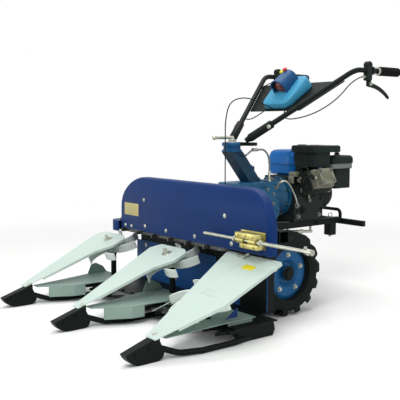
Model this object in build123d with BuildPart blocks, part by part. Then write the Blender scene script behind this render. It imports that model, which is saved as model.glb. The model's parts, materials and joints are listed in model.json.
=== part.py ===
"""Walk-behind power weeder that carries a reaper header on its front.

Millimetres, +Z up, the front of the machine towards -Y and its left side towards +X.
The origin lies on the ground under the middle of the whole machine.
"""
import os
from math import atan2, cos, radians, sin, tan

from build123d import *

os.makedirs("parts", exist_ok=True)

# Ground wheels
WHEEL_R = 180.0               # out to the lugs
WHEEL_X = 306.0               # middle of a wheel
TYRE_W = 100.0
TYRE_H = 50.0                 # from the bead seat out to the lugs
LUG_H = 0.4 * TYRE_H
LUG_T = 18.0
LUG_RUN = 44.0                # how far a lug trails round the tyre, from shoulder to middle
LUG_COUNT = 14                # on each shoulder
CARCASS_INSET = 5.0           # of the side wall inside the lugs
RIM_R = WHEEL_R - TYRE_H      # seat of the tyre bead
RIM_T = 4.0
BEAD_INSET = 8.0              # of the bead inside the lugs
LIP_T = 4.0
LIP_H = 9.0
DISC_T = 5.0
DISC_OUT = (6.0, 24.0, 8.0)   # rim seat, face and recess of the disc, outwards from the wheel's middle
DISC_FACE_R = (0.74 * RIM_R, 0.46 * RIM_R)
HUB_R = 30.0
HUB_OUT = 30.0
HUB_INNER_X = 176.0           # where the hub sleeve ends, towards the gearbox
AXLE_R = 17.0
AXLE_END_X = WHEEL_X + 40.0

# Gearbox
GEARBOX_HALF = 75.0           # half its width
GEARBOX_FRONT_Y = -66.0
GEARBOX_REAR_Y = 196.0
GEARBOX_TOP_Z = 542.0
CASE_CORNER_R = 14.0
CASE_FOOT = 72.0              # below the axle
CASE_FLANK = 40.0             # where the foot's slope starts, below the axle
CASE_FOOT_HALF = 30.0
CASE_CALF_Y = (66.0, 78.0)    # rear face below and above the axle
CASE_THIGH = 45.0             # above the axle
CASE_SHELF = 152.0            # height of the rear face that carries the clutch housing
CASE_BROW = (21.0, 85.0)      # slope at the top front corner
CASE_WALL = 9.0
LID_T = 9.0
LID_BOSSES = ((18.0, 338.0, 40.0, 10.0), (110.0, 466.0, 52.0, 12.0))   # y, z, radius, height
AXLE_BOSS_R = 44.0
AXLE_BOSS_X = 152.0
SHAFT_GAP = 0.05              # running clearance of a shaft in its bore

# Handle column and handlebar
SWIVEL_Y = -28.0              # upright axis that the handlebar turns on
COLUMN_HALF = 34.0
COLUMN_BASE_Y = 86.0
COLUMN_TOP_Z = 683.0
COLUMN_WALL = 7.0
STUB_R = 13.0                 # short tube welded to the column's rear face
STUB_LEN = 46.0
STUB_LOW = 30.0               # above the gearbox
FLANGE_R = 38.0
FLANGE_T = 24.0
FLANGE_LIP = (6.0, 8.0)       # overhang and thickness of the flange's lower lip
PIVOT_R = 14.0
TURN_GAP = 0.4                # between faces that turn on each other
HEAD_T = 15.0
HEAD_R = 44.0
HEAD_ARM = 46.0
TUBE_R = 16.5
TUBE_WALL = 3.0
SOCKET_R = 23.0
SOCKET_LEN = 190.0
SOCKET_FOOT = 34.0            # below the tube's end
SOCKET_GAP = 0.2              # radial play of a tube in its socket
TUBE_FOOT = (62.0, 36.0, 748.0)      # where a handle tube starts
TUBE_BEND = (295.0, 449.0, 1048.0)   # where it turns level
TUBE_BEND_R = 90.0
GRIP_R = 20.5
GRIP_LEN = 145.0
GRIP_END_T = 4.0
GRIP_END_Y = 752.0            # rear end of the handle grips
CLAMP_BACK = 217.0            # from the lever clamp to the grips' rear end
CLAMP_Y = GRIP_END_Y - CLAMP_BACK
CLAMP_SIZE = (40.0, 38.0, 74.0)      # across, along, high
CLAMP_LOW = 12.0              # how much of it hangs below the tube's middle
SWITCH_R = 17.0
LEVER_SIZE = (13.0, 9.0)
LEVER_BEND_R = 22.0
LEVER_RUN = ((10.0, -62.0), (75.0, -78.0), (150.0, -114.0))   # along and below the clamp's middle

# Console between the handle tubes
CONSOLE_HALF = 108.0
CONSOLE_SPAN = (240.0, 428.0)        # along the slope from the tubes' feet
CONSOLE_RISE = (6.0, 26.0, 34.0)
CONSOLE_EDGE_R = 16.0
TRAY_REACH = (15.0, 22.0)     # of the tray past the console, at the front and the rear
TRAY_SPAN = (CONSOLE_SPAN[0] - TRAY_REACH[0], CONSOLE_SPAN[1] + TRAY_REACH[1])
CONSOLE_TRAY_T = 4.0
HOOD_R = 58.0
HOOD_AT = 318.0               # front rim of the lamp hood, along the slope
HOOD_OUT = 14.0
LAMP_R = 40.0
LAMP_RISE = 38.0
LAMP_SET = 18.0               # lamp behind the hood's rim
LAMP_T = 14.0
STUD_R = 11.0
STUD_H = 22.0
BAR_R = 7.0
BAR_LEN = 112.0

# Engine
ENGINE_FRONT_Y = 262.0        # face that the clutch housing is bolted to
CASE_REAR_Y = 450.0
ENGINE_BASE_Z = 358.0
CRANK_Z = 466.0
CRANKCASE_TOP_Z = 560.0
CRANKCASE_HALF = 110.0
CRANKCASE_SHOULDER = (60.0, 92.0)    # half widths of the flat top, left and right
CRANKCASE_WALL = 8.0
BELL_R = (52.0, 80.0, 92.0)   # at the gearbox, behind the flange, and of the flange
BELL_BORE = (30.0, 70.0)
BELL_FLANGE_T = 14.0
CYL_TILT = 25.0               # of the cylinder above level
CYL_HALF_W = 56.0
CYL_HALF_H = 42.0
CYL_Y = 356.0
CYL_START = 60.0
CYL_END = 190.0
CYL_BORE_R = 36.0
CYL_LID_T = 8.0
FIN_T = 4.0
FIN_STEP = 12.0
FIN_OUT = 9.0                 # past the barrel
FIN_COUNT = 5
HEAD_LEN = 30.0
ROCKER_LEN = 26.0
ROCKER_SIZE = (94.0, 74.0, 12.0)
TANK = (-163.0, 30.0, 352.0, 560.0)  # x from, x to, y from, y to
TANK_TOP_Z = 680.0
TANK_WALL = 3.0
TANK_CORNER_R = 34.0
TANK_TOP_R = 22.0
TANK_SEAM = (4.0, 6.0)        # overhang and height of the seam round the tank
CAP_R = 32.0
CAP_H = 20.0
MUFFLER = (40.0, 184.0, 314.0, 428.0)
MUFFLER_Z = (608.0, 690.0)
MUFFLER_R = 22.0
MUFFLER_WALL = 3.0
MUFFLER_STEP = (45.0, 34.0)   # width and depth of the lower step beside the cylinder
SHIELD_OUT = (10.0, 58.0)     # heat shield past the muffler: at the front and sides, and over the air cleaner
SHIELD_T = 14.0
EXHAUST_R = 17.0
EXHAUST_AT = (108.0, 392.0)
CLEANER = (92.0, 190.0, 434.0, 586.0)
CLEANER_Z = (594.0, 620.0, 656.0)    # band, cap and top
CLEANER_R = 26.0
CLEANER_WALL = 4.0
BAND_INSET = 5.0
DUCT_Z = 500.0                # foot of the intake duct below the air cleaner
DUCT_INSET = (20.0, 34.0)     # at its sides and front, past the air cleaner's
INTAKE_R = 22.0
INTAKE_AT = (136.0, 540.0)    # x, z
SHROUD_R = 92.0
SHROUD_Y = 520.0
RECOIL_R = 80.0
RECOIL_Y = 560.0
SHROUD_T = 4.0
RECOIL_DRAFT = 8.0
GRILLE_SLOTS = 10
GRILLE_R = 46.0
SLOT_SIZE = (34.0, 9.0)

# Engine bed, linkage and rear bumper
RAIL_W = 30.0
RAIL_Z = (322.0, 350.0)
RAIL_WALL = 4.0
RAIL_START_Y = 90.0
BED_T = 8.0
LINK_R = 7.0
LINK_SPAN = (232.0, 398.0)
LINK_DROP = (16.0, 28.0)      # below the rail at its front and rear end
LINK_TAB = 8.0
BUMPER_Y = 600.0
BUMPER_HALF = 241.0
BUMPER_SECTION = (20.0, 26.0)        # depth, height
BUMPER_DROP = 8.0
HOOP_HALF = 91.0
HOOP_TOP_Z = 392.0
HOOP_R = 8.0
HOOP_BEND_R = 22.0
HITCH_BORE_R = 9.0
HITCH_HALF = 21.0
HITCH_Z = (246.0, 331.0)

# Reaper header: every place along the machine counts from the front face of its lower wall
WHEEL_GAP = 18.0
WALL_Y = -(WHEEL_R + WHEEL_GAP)
WALL_X = (-520.0, 415.0)
WALL_Z = (58.0, 240.0)
WALL_T = 3.0
WALL_NOTCH = (95.0, 255.0, 55.0, 25.0)   # x from, x to, depth and corner radius
COVER_X = (-533.0, 541.0)
COVER_REACH = (87.0, 20.0)    # front face and open back, from the wall
COVER_Y = (WALL_Y - COVER_REACH[0], WALL_Y + COVER_REACH[1])
COVER_Z = (307.0, 556.0)
COVER_CORNER_R = 155.0
COVER_EDGE_R = 48.0
COVER_T = 3.0
DECK_REACH = (248.0, 40.0)    # before and behind the wall
DECK_Y = (WALL_Y - DECK_REACH[0], WALL_Y + DECK_REACH[1])
DECK_Z = (54.0, 58.0)
DECK_WING_X = 512.0           # left end of the deck's front part
DECK_WING_GAP = 34.0          # from that part's rear edge to the wall
DECK_WING = (DECK_WING_X, WALL_Y - DECK_WING_GAP)
BAR_REACH = (30.0, 16.0)      # of the finger bar, before and behind the deck's front edge
BAR_Y = (DECK_Y[0] - BAR_REACH[0], DECK_Y[0] + BAR_REACH[1])
BAR_Z = (42.0, 54.0)
BAR_X = (WALL_X[0], DECK_WING[0])
GUARD_PITCH = 76.2
GUARD_COUNT = 14
GUARD_LEN = 46.0
GUARD_HALF = (13.0, 3.0)      # at the bar and at the tip
KNIFE_GAP = 0.4
KNIFE_T = 4.0
KNIFE_STROKE = 38.0
KNIFE_BACK = 20.0
SECTION_LEN = 40.0
SECTION_HALF = (0.48 * GUARD_PITCH, 6.0)     # a knife section at its back and at its point
BEAM_REACH = (38.0, 12.0)     # before and behind the wall
BEAM_Y = (WALL_Y - BEAM_REACH[0], WALL_Y + BEAM_REACH[1])
BEAM_Z = (350.0, 400.0)
BEAM_WALL = 4.0
UPRIGHT_X = (-470.0, -190.0, 190.0, 393.0)
UPRIGHT_GAP = 1.0             # from the wall
UPRIGHT_Y = (WALL_Y + WALL_T + UPRIGHT_GAP, DECK_Y[1])
UPRIGHT_W = 40.0
BACK_T = 3.0
NECK_R = 52.0
NECK_WALL = 9.0
NECK_Z = 330.0
NECK_PLATE_T = 8.0
NECK_PLATE_H = 130.0
BRACKET_X = (-400.0, 0.0, 330.0)     # brackets that hold the cover to the beam
BRACKET_W = 40.0
BRACKET_T = 8.0

# Conveyor chain above the wall
CHAIN_OUT = 42.0              # before the wall
CHAIN_Y = WALL_Y - CHAIN_OUT
CHAIN_X = (-560.0, 205.0)
CHAIN_R = 30.0
CHAIN_HALF_W = 6.0
CHAIN_Z = (289.0, 303.0)
CHAIN_LUG = 26.0
CHAIN_LUG_T = 8.0
CHAIN_LUG_STEP = 110.0
SPROCKET_SHAFT_R = 12.0
END_GUARD_R = 62.0
END_GUARD_TOP_Z = 336.0
END_GUARD_LOW = 2.0           # below the chain

# Crop guide rod in front of the cover
ROD_START_X = 169.0
ROD_END_X = 767.0             # free end of the crop guide rod
ROD_OUT = 33.0                # before the cover
ROD_Y = COVER_Y[0] - ROD_OUT
ROD_Z = 362.0
ROD_R = 7.0
ROD_EYE = (33.0, 11.0)        # length and radius of the end fitting
ROD_CLAMP_X = (362.0, 499.0)
CLAMP_PLATE_T = 4.0
CLAMP_PLATE_RISE = (30.0, 34.0)      # below and above the rod
CLAMP_RING_T = 6.0
CLAMP_WEB = 14.0

# Dividers: a sloping cover over a star wheel, a tray, a tip and a runner
DIVIDER_X = (-521.0, -35.0, 474.0)   # right, middle and left divider
SLOPE = atan2(0.396, 1.0)            # of the covers, rising to the rear
PIVOT_OUT = 165.0                    # a cover's bolt, before the wall
PIVOT_Y = WALL_Y - PIVOT_OUT
PIVOT_Z = 251.0
SHEET_T = 3.0
COVER_ROUND = 12.0
FOLD_H = 8.0                         # edges folded down round a cover
FOLD_FROM = -380.0                   # where the folds start, along the slope from the bolt
STAR_R = 145.0                       # reach of the star wheel fingers
STAR_DROP = 38.0                     # from the cover down to the middle of the star
STAR_HALF_H = 18.0
STAR_FINGERS = 7
STAR_TIP_TURN = 34.0                 # how far a finger's tip trails its root
STAR_TIP_HALF = 3.5
STAR_MID_HALF = 4.5
STAR_HUB_R = 30.0
STAR_PIN_R = 8.0
POST_R = 13.0
POST_COLLAR = (4.0, 18.0)            # overhang and height of the collar under the star
POST_GAP = 6.0                       # from the collar to the star
TRAY_Z = 75.0
TRAY_REAR_OUT = 120.0                # a tray's rear edge, before the wall
TRAY_REAR_Y = WALL_Y - TRAY_REAR_OUT
TRAY_FOOT_GAP = 8.0
# Outline of the ear on a narrow tray: y from the tray's rear, height
TRAY_EAR = ((-107.0, 0.0), (-87.0, 44.0), (-62.0, 49.0), (-22.0, 28.0), (-2.0, 0.0))
TRAY_SKIRT = ((45.0, -502.0), (95.0, -402.0), (100.0, -347.0))       # x from the tip, y from the wall
TRAY_SKIRT_Z = 28.0
TIP_OUT = 707.0                      # front point of the divider tips, before the wall
TIP_FRONT_Y = WALL_Y - TIP_OUT
TIP_NOSE_Z = 44.0
TIP_HALF = 18.0
TIP_BELLY = (67.0, 127.0)            # where it lies on the ground, behind the nose
TIP_HEEL = ((157.0, 34.0), (139.0, 70.0))    # y behind the nose, height
TIP_COVER = (108.0, 139.0)           # seat of the cover, behind the nose
RUNNER_R = 11.0
RUNNER_SHIFT = 40.0                  # sideways bow of a runner
RUNNER_BEND_R = 110.0
# Path of a runner: share of the bow, y from the wall, height
RUNNER_RUN = (
    (0.0, -572.0, 46.0), (0.6, -492.0, 15.0), (1.0, -400.0, RUNNER_R), (1.0, -252.0, RUNNER_R),
    (0.4, -132.0, RUNNER_R),
)
SHOE_HALF = 16.0
SHOE_AT = 0.4                        # share of the bow
SHOE_PROFILE = (
    (-227.0, 24.0), (-202.0, 0.0), (-54.0, 0.0), (-42.0, 24.0), (-50.0, DECK_Z[0]), (-227.0, DECK_Z[0]),
)
# Outlines of the covers in their own plane: x from the tip, y from the bolt
NARROW_COVER = (
    (-42.0, -465.0), (6.0, -465.0), (36.0, -250.0), (52.0, -112.0), (100.0, -36.0), (98.0, 34.0),
    (60.0, 56.0), (-110.0, 56.0), (-144.0, 14.0),
)
WIDE_COVER = ((-28.0, -465.0), (32.0, -465.0), (108.0, -210.0), (94.0, 108.0), (-222.0, 108.0))
# Outlines of the trays: x from the tip, y from the wall
NARROW_TRAY = (
    (-22.0, -547.0), (22.0, -547.0), (95.0, -402.0), (110.0, -222.0), (110.0, -120.0),
    (-100.0, -120.0), (-95.0, -222.0), (-50.0, -402.0),
)
WIDE_TRAY = (
    (-22.0, -547.0), (22.0, -547.0), (14.0, -402.0), (6.0, -222.0), (6.0, -120.0),
    (-150.0, -120.0), (-150.0, -222.0), (-120.0, -402.0),
)
# name, x of the tip, cover, tray, feet of the tray, star wheel from the tip and the bolt, star's first finger
DIVIDERS = (
    ("right", DIVIDER_X[0], NARROW_COVER, NARROW_TRAY, (-88.0, 100.0), (0.0, 0.0), 146.0),
    ("middle", DIVIDER_X[1], NARROW_COVER, NARROW_TRAY, (-88.0, 100.0), (0.0, 0.0), 146.0),
    ("left", DIVIDER_X[2], WIDE_COVER, WIDE_TRAY, (-140.0, -8.0), (-86.0, -145.0), 172.0),
)

# Control cables
CABLE_R = 4.0
CABLE_SPLIT = 11.0                   # above the column, where the front cable passes to it from the handlebar
CABLE_SPLIT_Z = COLUMN_TOP_Z + CABLE_SPLIT
CABLE_GAP = 0.6
FRONT_CABLE = ((60.0, 902.0), (-84.0, 850.0))            # y, z of its corners above the column
FRONT_CABLE_R = (190.0, 80.0)
FRONT_CABLE_X = 20.0
FRONT_CABLE_Y = -84.0
FRONT_CABLE_FOOT_Z = 430.0
FRONT_CABLE_FOOT_R = 14.0
CLUTCH_CABLE = ((64.0, 0.0, 664.0), (64.0, 30.0, 690.0), (64.0, 100.0, 690.0), (64.0, 142.0, 600.0))
CLUTCH_CABLE_R = (12.0, 14.0, 45.0, 60.0)
LEVER_CABLE = (
    (295.0, 490.0, 1018.0), (295.0, 425.0, 1000.0), (287.0, 316.0, 890.0), (215.0, 215.0, 824.0),
    (112.0, 170.0, 816.0),
)
LEVER_CABLE_R = (40.0, 60.0, 60.0, 40.0, 18.0, 10.0)
LEVER_CABLE_TAIL = (70.0, 46.0)      # x and length of its straight end at the console

# The origin of the whole machine in the middle of its box
MID_X = -((DIVIDER_X[0] - STAR_R) + ROD_END_X) / 2
AXLE_Y = -(TIP_FRONT_Y + GRIP_END_Y) / 2

SIDES = (("left", 1), ("right", -1))
BIG = 4000.0                         # larger than the machine, for cutting


def at(x, y, z):
    """A point given from the mid-plane, the axle and the ground."""
    return Vector(MID_X + x, AXLE_Y + y, z)


def level(z, x=0.0, y=0.0):
    """A plane at a height: its sketch runs along X and Y."""
    return Plane(origin=at(x, y, z))


def side(x):
    """An upright plane along the machine: its sketch runs along Y and Z."""
    return Plane(origin=at(x, 0, 0), x_dir=(0, 1, 0), z_dir=(1, 0, 0))


def facing(y):
    """An upright plane across the machine, facing forward: its sketch runs along X and Z."""
    return Plane(origin=at(0, y, 0), x_dir=(1, 0, 0), z_dir=(0, -1, 0))


def cover_z(y):
    """Height of a divider cover's underside."""
    return PIVOT_Z + (y - PIVOT_Y) * tan(SLOPE)


def slope_plane(x, y, drop=0.0):
    """The underside of a divider cover at a place, or a plane that lies lower by drop."""
    normal = Vector(0, -sin(SLOPE), cos(SLOPE))
    return Plane(origin=at(x, y, cover_z(y)) - normal * drop, x_dir=(1, 0, 0), z_dir=normal)


def middle(low, high):
    """Half way between two places."""
    return (low + high) / 2


def write(name, part):
    """Labels a finished piece and writes it."""
    part.label = name
    export_step(part, f"parts/{name}.step")


# Ground wheels: lugged tyre, dished rim with its hub, and the half axle that carries it
wheel_plane = level(WHEEL_R)
wheel_axis = Axis(wheel_plane.origin, (1, 0, 0))
tread_r = WHEEL_R - LUG_H
bead_half = TYRE_W / 2 - BEAD_INSET
carcass_half = TYRE_W / 2 - CARCASS_INSET
lip_r = RIM_R + LIP_H
side_r = lip_r + BEAD_INSET / 2
shoulder = LUG_H / 2

for side_name, sign in SIDES:
    wheel_mid = sign * WHEEL_X
    hub = at(wheel_mid, 0, WHEEL_R)

    with BuildPart() as lug_pair:
        for shoulder_sign, turn in ((1, 0.0), (-1, 180.0 / LUG_COUNT)):
            out = Vector(0, cos(radians(turn)), sin(radians(turn)))
            with BuildSketch(Plane(origin=hub + out * side_r, x_dir=(1, 0, 0), z_dir=out)):
                with BuildLine():
                    Polyline(
                        (shoulder_sign * 2, LUG_RUN / 2), (shoulder_sign * 2, LUG_RUN / 2 - LUG_T),
                        (shoulder_sign * TYRE_W / 2, -LUG_RUN / 2 - LUG_T / 2),
                        (shoulder_sign * TYRE_W / 2, -LUG_RUN / 2 + LUG_T / 2), close=True,
                    )
                make_face()
            extrude(amount=WHEEL_R - side_r + shoulder)

    with BuildPart() as tyre:
        with BuildSketch(wheel_plane):
            with BuildLine():
                Polyline(
                    (wheel_mid - bead_half, RIM_R), (wheel_mid - bead_half, lip_r + 1),
                    (wheel_mid - carcass_half, side_r), (wheel_mid - carcass_half, tread_r - shoulder),
                    (wheel_mid - carcass_half + shoulder, tread_r),
                    (wheel_mid + carcass_half - shoulder, tread_r),
                    (wheel_mid + carcass_half, tread_r - shoulder), (wheel_mid + carcass_half, side_r),
                    (wheel_mid + bead_half, lip_r + 1), (wheel_mid + bead_half, RIM_R), close=True,
                )
            make_face()
        revolve(axis=wheel_axis)
        add([lug_pair.part.rotate(wheel_axis, number * 360 / LUG_COUNT) for number in range(LUG_COUNT)])
        with BuildSketch(wheel_plane):
            with BuildLine():
                Polyline(
                    (wheel_mid - TYRE_W / 2, RIM_R), (wheel_mid - TYRE_W / 2, WHEEL_R - shoulder),
                    (wheel_mid - TYRE_W / 2 + shoulder, WHEEL_R),
                    (wheel_mid + TYRE_W / 2 - shoulder, WHEEL_R),
                    (wheel_mid + TYRE_W / 2, WHEEL_R - shoulder), (wheel_mid + TYRE_W / 2, RIM_R), close=True,
                )
            make_face()
        revolve(axis=wheel_axis, mode=Mode.INTERSECT)
    write(f"tyre_{side_name}", tyre.part)

    disc = (
        (DISC_OUT[0], RIM_R - RIM_T / 2), (DISC_OUT[1], DISC_FACE_R[0]), (DISC_OUT[1], DISC_FACE_R[1]),
        (DISC_OUT[2], DISC_FACE_R[1] - DISC_OUT[1] + DISC_OUT[2]), (DISC_OUT[2], HUB_R - 2),
    )
    with BuildPart() as rim:
        with BuildSketch(wheel_plane):
            with Locations((wheel_mid, RIM_R - RIM_T / 2)):
                Rectangle(2 * (bead_half + LIP_T), RIM_T)
            for lip_sign in (1, -1):
                with Locations((wheel_mid + lip_sign * (bead_half + LIP_T / 2), RIM_R + LIP_H / 2)):
                    Rectangle(LIP_T, LIP_H)
            with BuildLine():
                outer_line = [(wheel_mid + sign * x, r) for x, r in disc]
                inner_line = [(wheel_mid + sign * (x - DISC_T), r) for x, r in reversed(disc)]
                Polyline(*outer_line, *inner_line, close=True)
            make_face()
            hub_ends = sorted((sign * HUB_INNER_X, wheel_mid + sign * HUB_OUT))
            with Locations((middle(*hub_ends), middle(AXLE_R, HUB_R))):
                Rectangle(hub_ends[1] - hub_ends[0], HUB_R - AXLE_R)
        revolve(axis=wheel_axis)
    write(f"rim_{side_name}", rim.part)

    with BuildPart() as axle:
        with BuildSketch(side(sign * (GEARBOX_HALF - CASE_WALL))):
            with Locations((0, WHEEL_R)):
                Circle(AXLE_R)
        extrude(amount=sign * (AXLE_END_X - GEARBOX_HALF + CASE_WALL))
    write(f"axle_{side_name}", axle.part)

# Gearbox: a tall casting, open on its left side, where a lid closes it
gearbox_outline = (
    (GEARBOX_FRONT_Y, WHEEL_R - CASE_FLANK), (GEARBOX_FRONT_Y, GEARBOX_TOP_Z - CASE_BROW[1]),
    (GEARBOX_FRONT_Y + CASE_BROW[0], GEARBOX_TOP_Z), (GEARBOX_REAR_Y, GEARBOX_TOP_Z),
    (GEARBOX_REAR_Y, GEARBOX_TOP_Z - CASE_SHELF), (CASE_CALF_Y[1], WHEEL_R + CASE_THIGH),
    (CASE_CALF_Y[0], WHEEL_R - CASE_FLANK), (CASE_FOOT_HALF, WHEEL_R - CASE_FOOT),
    (-CASE_FOOT_HALF, WHEEL_R - CASE_FOOT),
)
with BuildPart() as gearbox:
    with BuildSketch(side(-GEARBOX_HALF)):
        with BuildLine():
            Polyline(*gearbox_outline, close=True)
        make_face()
        fillet(vertices(), CASE_CORNER_R)
    extrude(amount=2 * GEARBOX_HALF - LID_T)
    open_face = faces().sort_by(Axis.X)[-1]
    offset(amount=-CASE_WALL, openings=open_face)
    with BuildSketch(side(-GEARBOX_HALF)):
        with Locations((0, WHEEL_R)):
            Circle(AXLE_BOSS_R)
    extrude(amount=-(AXLE_BOSS_X - GEARBOX_HALF))
    with BuildSketch(side(-AXLE_BOSS_X)):
        with Locations((0, WHEEL_R)):
            Circle(AXLE_R + SHAFT_GAP)
    extrude(amount=AXLE_BOSS_X - GEARBOX_HALF + CASE_WALL, mode=Mode.SUBTRACT)
write("gearbox", gearbox.part)

with BuildPart() as gearbox_lid:
    with BuildSketch(side(GEARBOX_HALF - LID_T)):
        with BuildLine():
            Polyline(*gearbox_outline, close=True)
        make_face()
        fillet(vertices(), CASE_CORNER_R)
    extrude(amount=LID_T)
    for boss_y, boss_z, boss_r, boss_h in LID_BOSSES:
        with BuildSketch(side(GEARBOX_HALF)):
            with Locations((boss_y, boss_z)):
                Circle(boss_r)
        extrude(amount=boss_h)
    with BuildSketch(side(GEARBOX_HALF)):
        with Locations((0, WHEEL_R)):
            Circle(AXLE_BOSS_R)
    extrude(amount=AXLE_BOSS_X - GEARBOX_HALF)
    with BuildSketch(side(AXLE_BOSS_X)):
        with Locations((0, WHEEL_R)):
            Circle(AXLE_R + SHAFT_GAP)
    extrude(amount=-(AXLE_BOSS_X - GEARBOX_HALF + LID_T), mode=Mode.SUBTRACT)
write("gearbox_lid", gearbox_lid.part)

# Clutch housing: a bell between the gearbox and the engine
with BuildPart() as clutch_housing:
    bell_plane = Plane(origin=at(0, 0, CRANK_Z), x_dir=(0, 1, 0), z_dir=(0, 0, 1))
    flange_y = ENGINE_FRONT_Y - BELL_FLANGE_T
    with BuildSketch(bell_plane):
        with BuildLine():
            Polyline(
                (GEARBOX_REAR_Y, BELL_BORE[0]), (GEARBOX_REAR_Y, BELL_R[0]), (flange_y, BELL_R[1]),
                (flange_y, BELL_R[2]), (ENGINE_FRONT_Y, BELL_R[2]), (ENGINE_FRONT_Y, BELL_BORE[1]),
                close=True,
            )
        make_face()
    revolve(axis=Axis(bell_plane.origin, (0, 1, 0)))
write("clutch_housing", clutch_housing.part)

# Handle column: a leaning box tube with the swivel flange and pin on its top
column_lean = (COLUMN_BASE_Y - SWIVEL_Y) / (COLUMN_TOP_Z - GEARBOX_TOP_Z)
with BuildPart() as handle_column:
    with BuildSketch(side(-COLUMN_HALF)):
        with BuildLine():
            Polyline(
                (COLUMN_BASE_Y - COLUMN_HALF, GEARBOX_TOP_Z), (COLUMN_BASE_Y + COLUMN_HALF, GEARBOX_TOP_Z),
                (SWIVEL_Y + COLUMN_HALF, COLUMN_TOP_Z), (SWIVEL_Y - COLUMN_HALF, COLUMN_TOP_Z), close=True,
            )
        make_face()
    extrude(amount=2 * COLUMN_HALF)
    base_face = faces().sort_by(Axis.Z)[0]
    offset(amount=-COLUMN_WALL, openings=base_face)
    with BuildSketch(level(COLUMN_TOP_Z, 0, SWIVEL_Y)):
        Circle(FLANGE_R)
    extrude(amount=FLANGE_T)
    with BuildSketch(level(COLUMN_TOP_Z, 0, SWIVEL_Y)):
        Circle(FLANGE_R + FLANGE_LIP[0])
    extrude(amount=FLANGE_LIP[1])
    with BuildSketch(level(COLUMN_TOP_Z + FLANGE_T, 0, SWIVEL_Y)):
        Circle(PIVOT_R)
    extrude(amount=HEAD_T)
    stub_y = COLUMN_BASE_Y + COLUMN_HALF - column_lean * (STUB_LOW + STUB_LEN / 2)
    with BuildSketch(level(GEARBOX_TOP_Z + STUB_LOW, 0, stub_y)):
        Circle(STUB_R)
    extrude(amount=STUB_LEN)
write("handle_column", handle_column.part)

# Handle head: a turntable with two slanting sockets for the handle tubes
HEAD_Z = COLUMN_TOP_Z + FLANGE_T + TURN_GAP
tube_run = (Vector(*TUBE_BEND) - Vector(*TUBE_FOOT)).normalized()


def along_tube(sign, distance):
    """A point on a handle tube's slanting run, counted from its foot."""
    point = Vector(*TUBE_FOOT) + tube_run * distance
    return at(sign * point.X, point.Y, point.Z)


def tube_plane(sign, distance):
    """A plane square to a handle tube, upright edges level with the ground."""
    across = Vector(tube_run.Y, -sign * tube_run.X, 0).normalized()
    direction = Vector(sign * tube_run.X, tube_run.Y, tube_run.Z)
    return Plane(origin=along_tube(sign, distance), x_dir=across, z_dir=direction)


with BuildPart() as handle_head:
    arm_reach = TUBE_FOOT[1] - SWIVEL_Y
    with BuildSketch(level(HEAD_Z, 0, SWIVEL_Y)):
        Circle(HEAD_R)
        with Locations((0, arm_reach)):
            Rectangle(2 * (TUBE_FOOT[0] + TUBE_R), HEAD_ARM)
        with Locations((0, arm_reach / 2)):
            Rectangle(2 * HEAD_R, arm_reach)
    extrude(amount=HEAD_T)
    for _, sign in SIDES:
        with BuildSketch(tube_plane(sign, -SOCKET_FOOT)):
            Circle(SOCKET_R)
        extrude(amount=SOCKET_LEN)
        with BuildSketch(tube_plane(sign, 0)):
            Circle(TUBE_R + SOCKET_GAP)
        extrude(amount=SOCKET_LEN, mode=Mode.SUBTRACT)
    with BuildSketch(level(HEAD_Z, 0, SWIVEL_Y)):
        Circle(PIVOT_R + SHAFT_GAP)
    extrude(amount=HEAD_T, mode=Mode.SUBTRACT)
    split(bisect_by=level(HEAD_Z), keep=Keep.TOP)
write("handle_head", handle_head.part)

# Handle tubes, and the rubber grips on their ends
for side_name, sign in SIDES:
    with BuildPart() as handle_tube:
        with BuildLine() as tube_path:
            FilletPolyline(
                along_tube(sign, 0), at(sign * TUBE_BEND[0], *TUBE_BEND[1:]),
                at(sign * TUBE_BEND[0], GRIP_END_Y - GRIP_END_T, TUBE_BEND[2]), radius=TUBE_BEND_R,
            )
        with BuildSketch(tube_plane(sign, 0)):
            Circle(TUBE_R)
            Circle(TUBE_R - TUBE_WALL, mode=Mode.SUBTRACT)
        sweep(path=tube_path.line)
    write(f"handle_tube_{side_name}", handle_tube.part)

with BuildPart() as grips:
    for _, sign in SIDES:
        with BuildSketch(facing(GRIP_END_Y)):
            with Locations((sign * TUBE_BEND[0], TUBE_BEND[2])):
                Circle(GRIP_R)
        extrude(amount=GRIP_LEN)
        with BuildSketch(facing(GRIP_END_Y - GRIP_END_T)):
            with Locations((sign * TUBE_BEND[0], TUBE_BEND[2])):
                Circle(TUBE_R)
        extrude(amount=GRIP_LEN, mode=Mode.SUBTRACT)
write("grips", grips.part)

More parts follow.
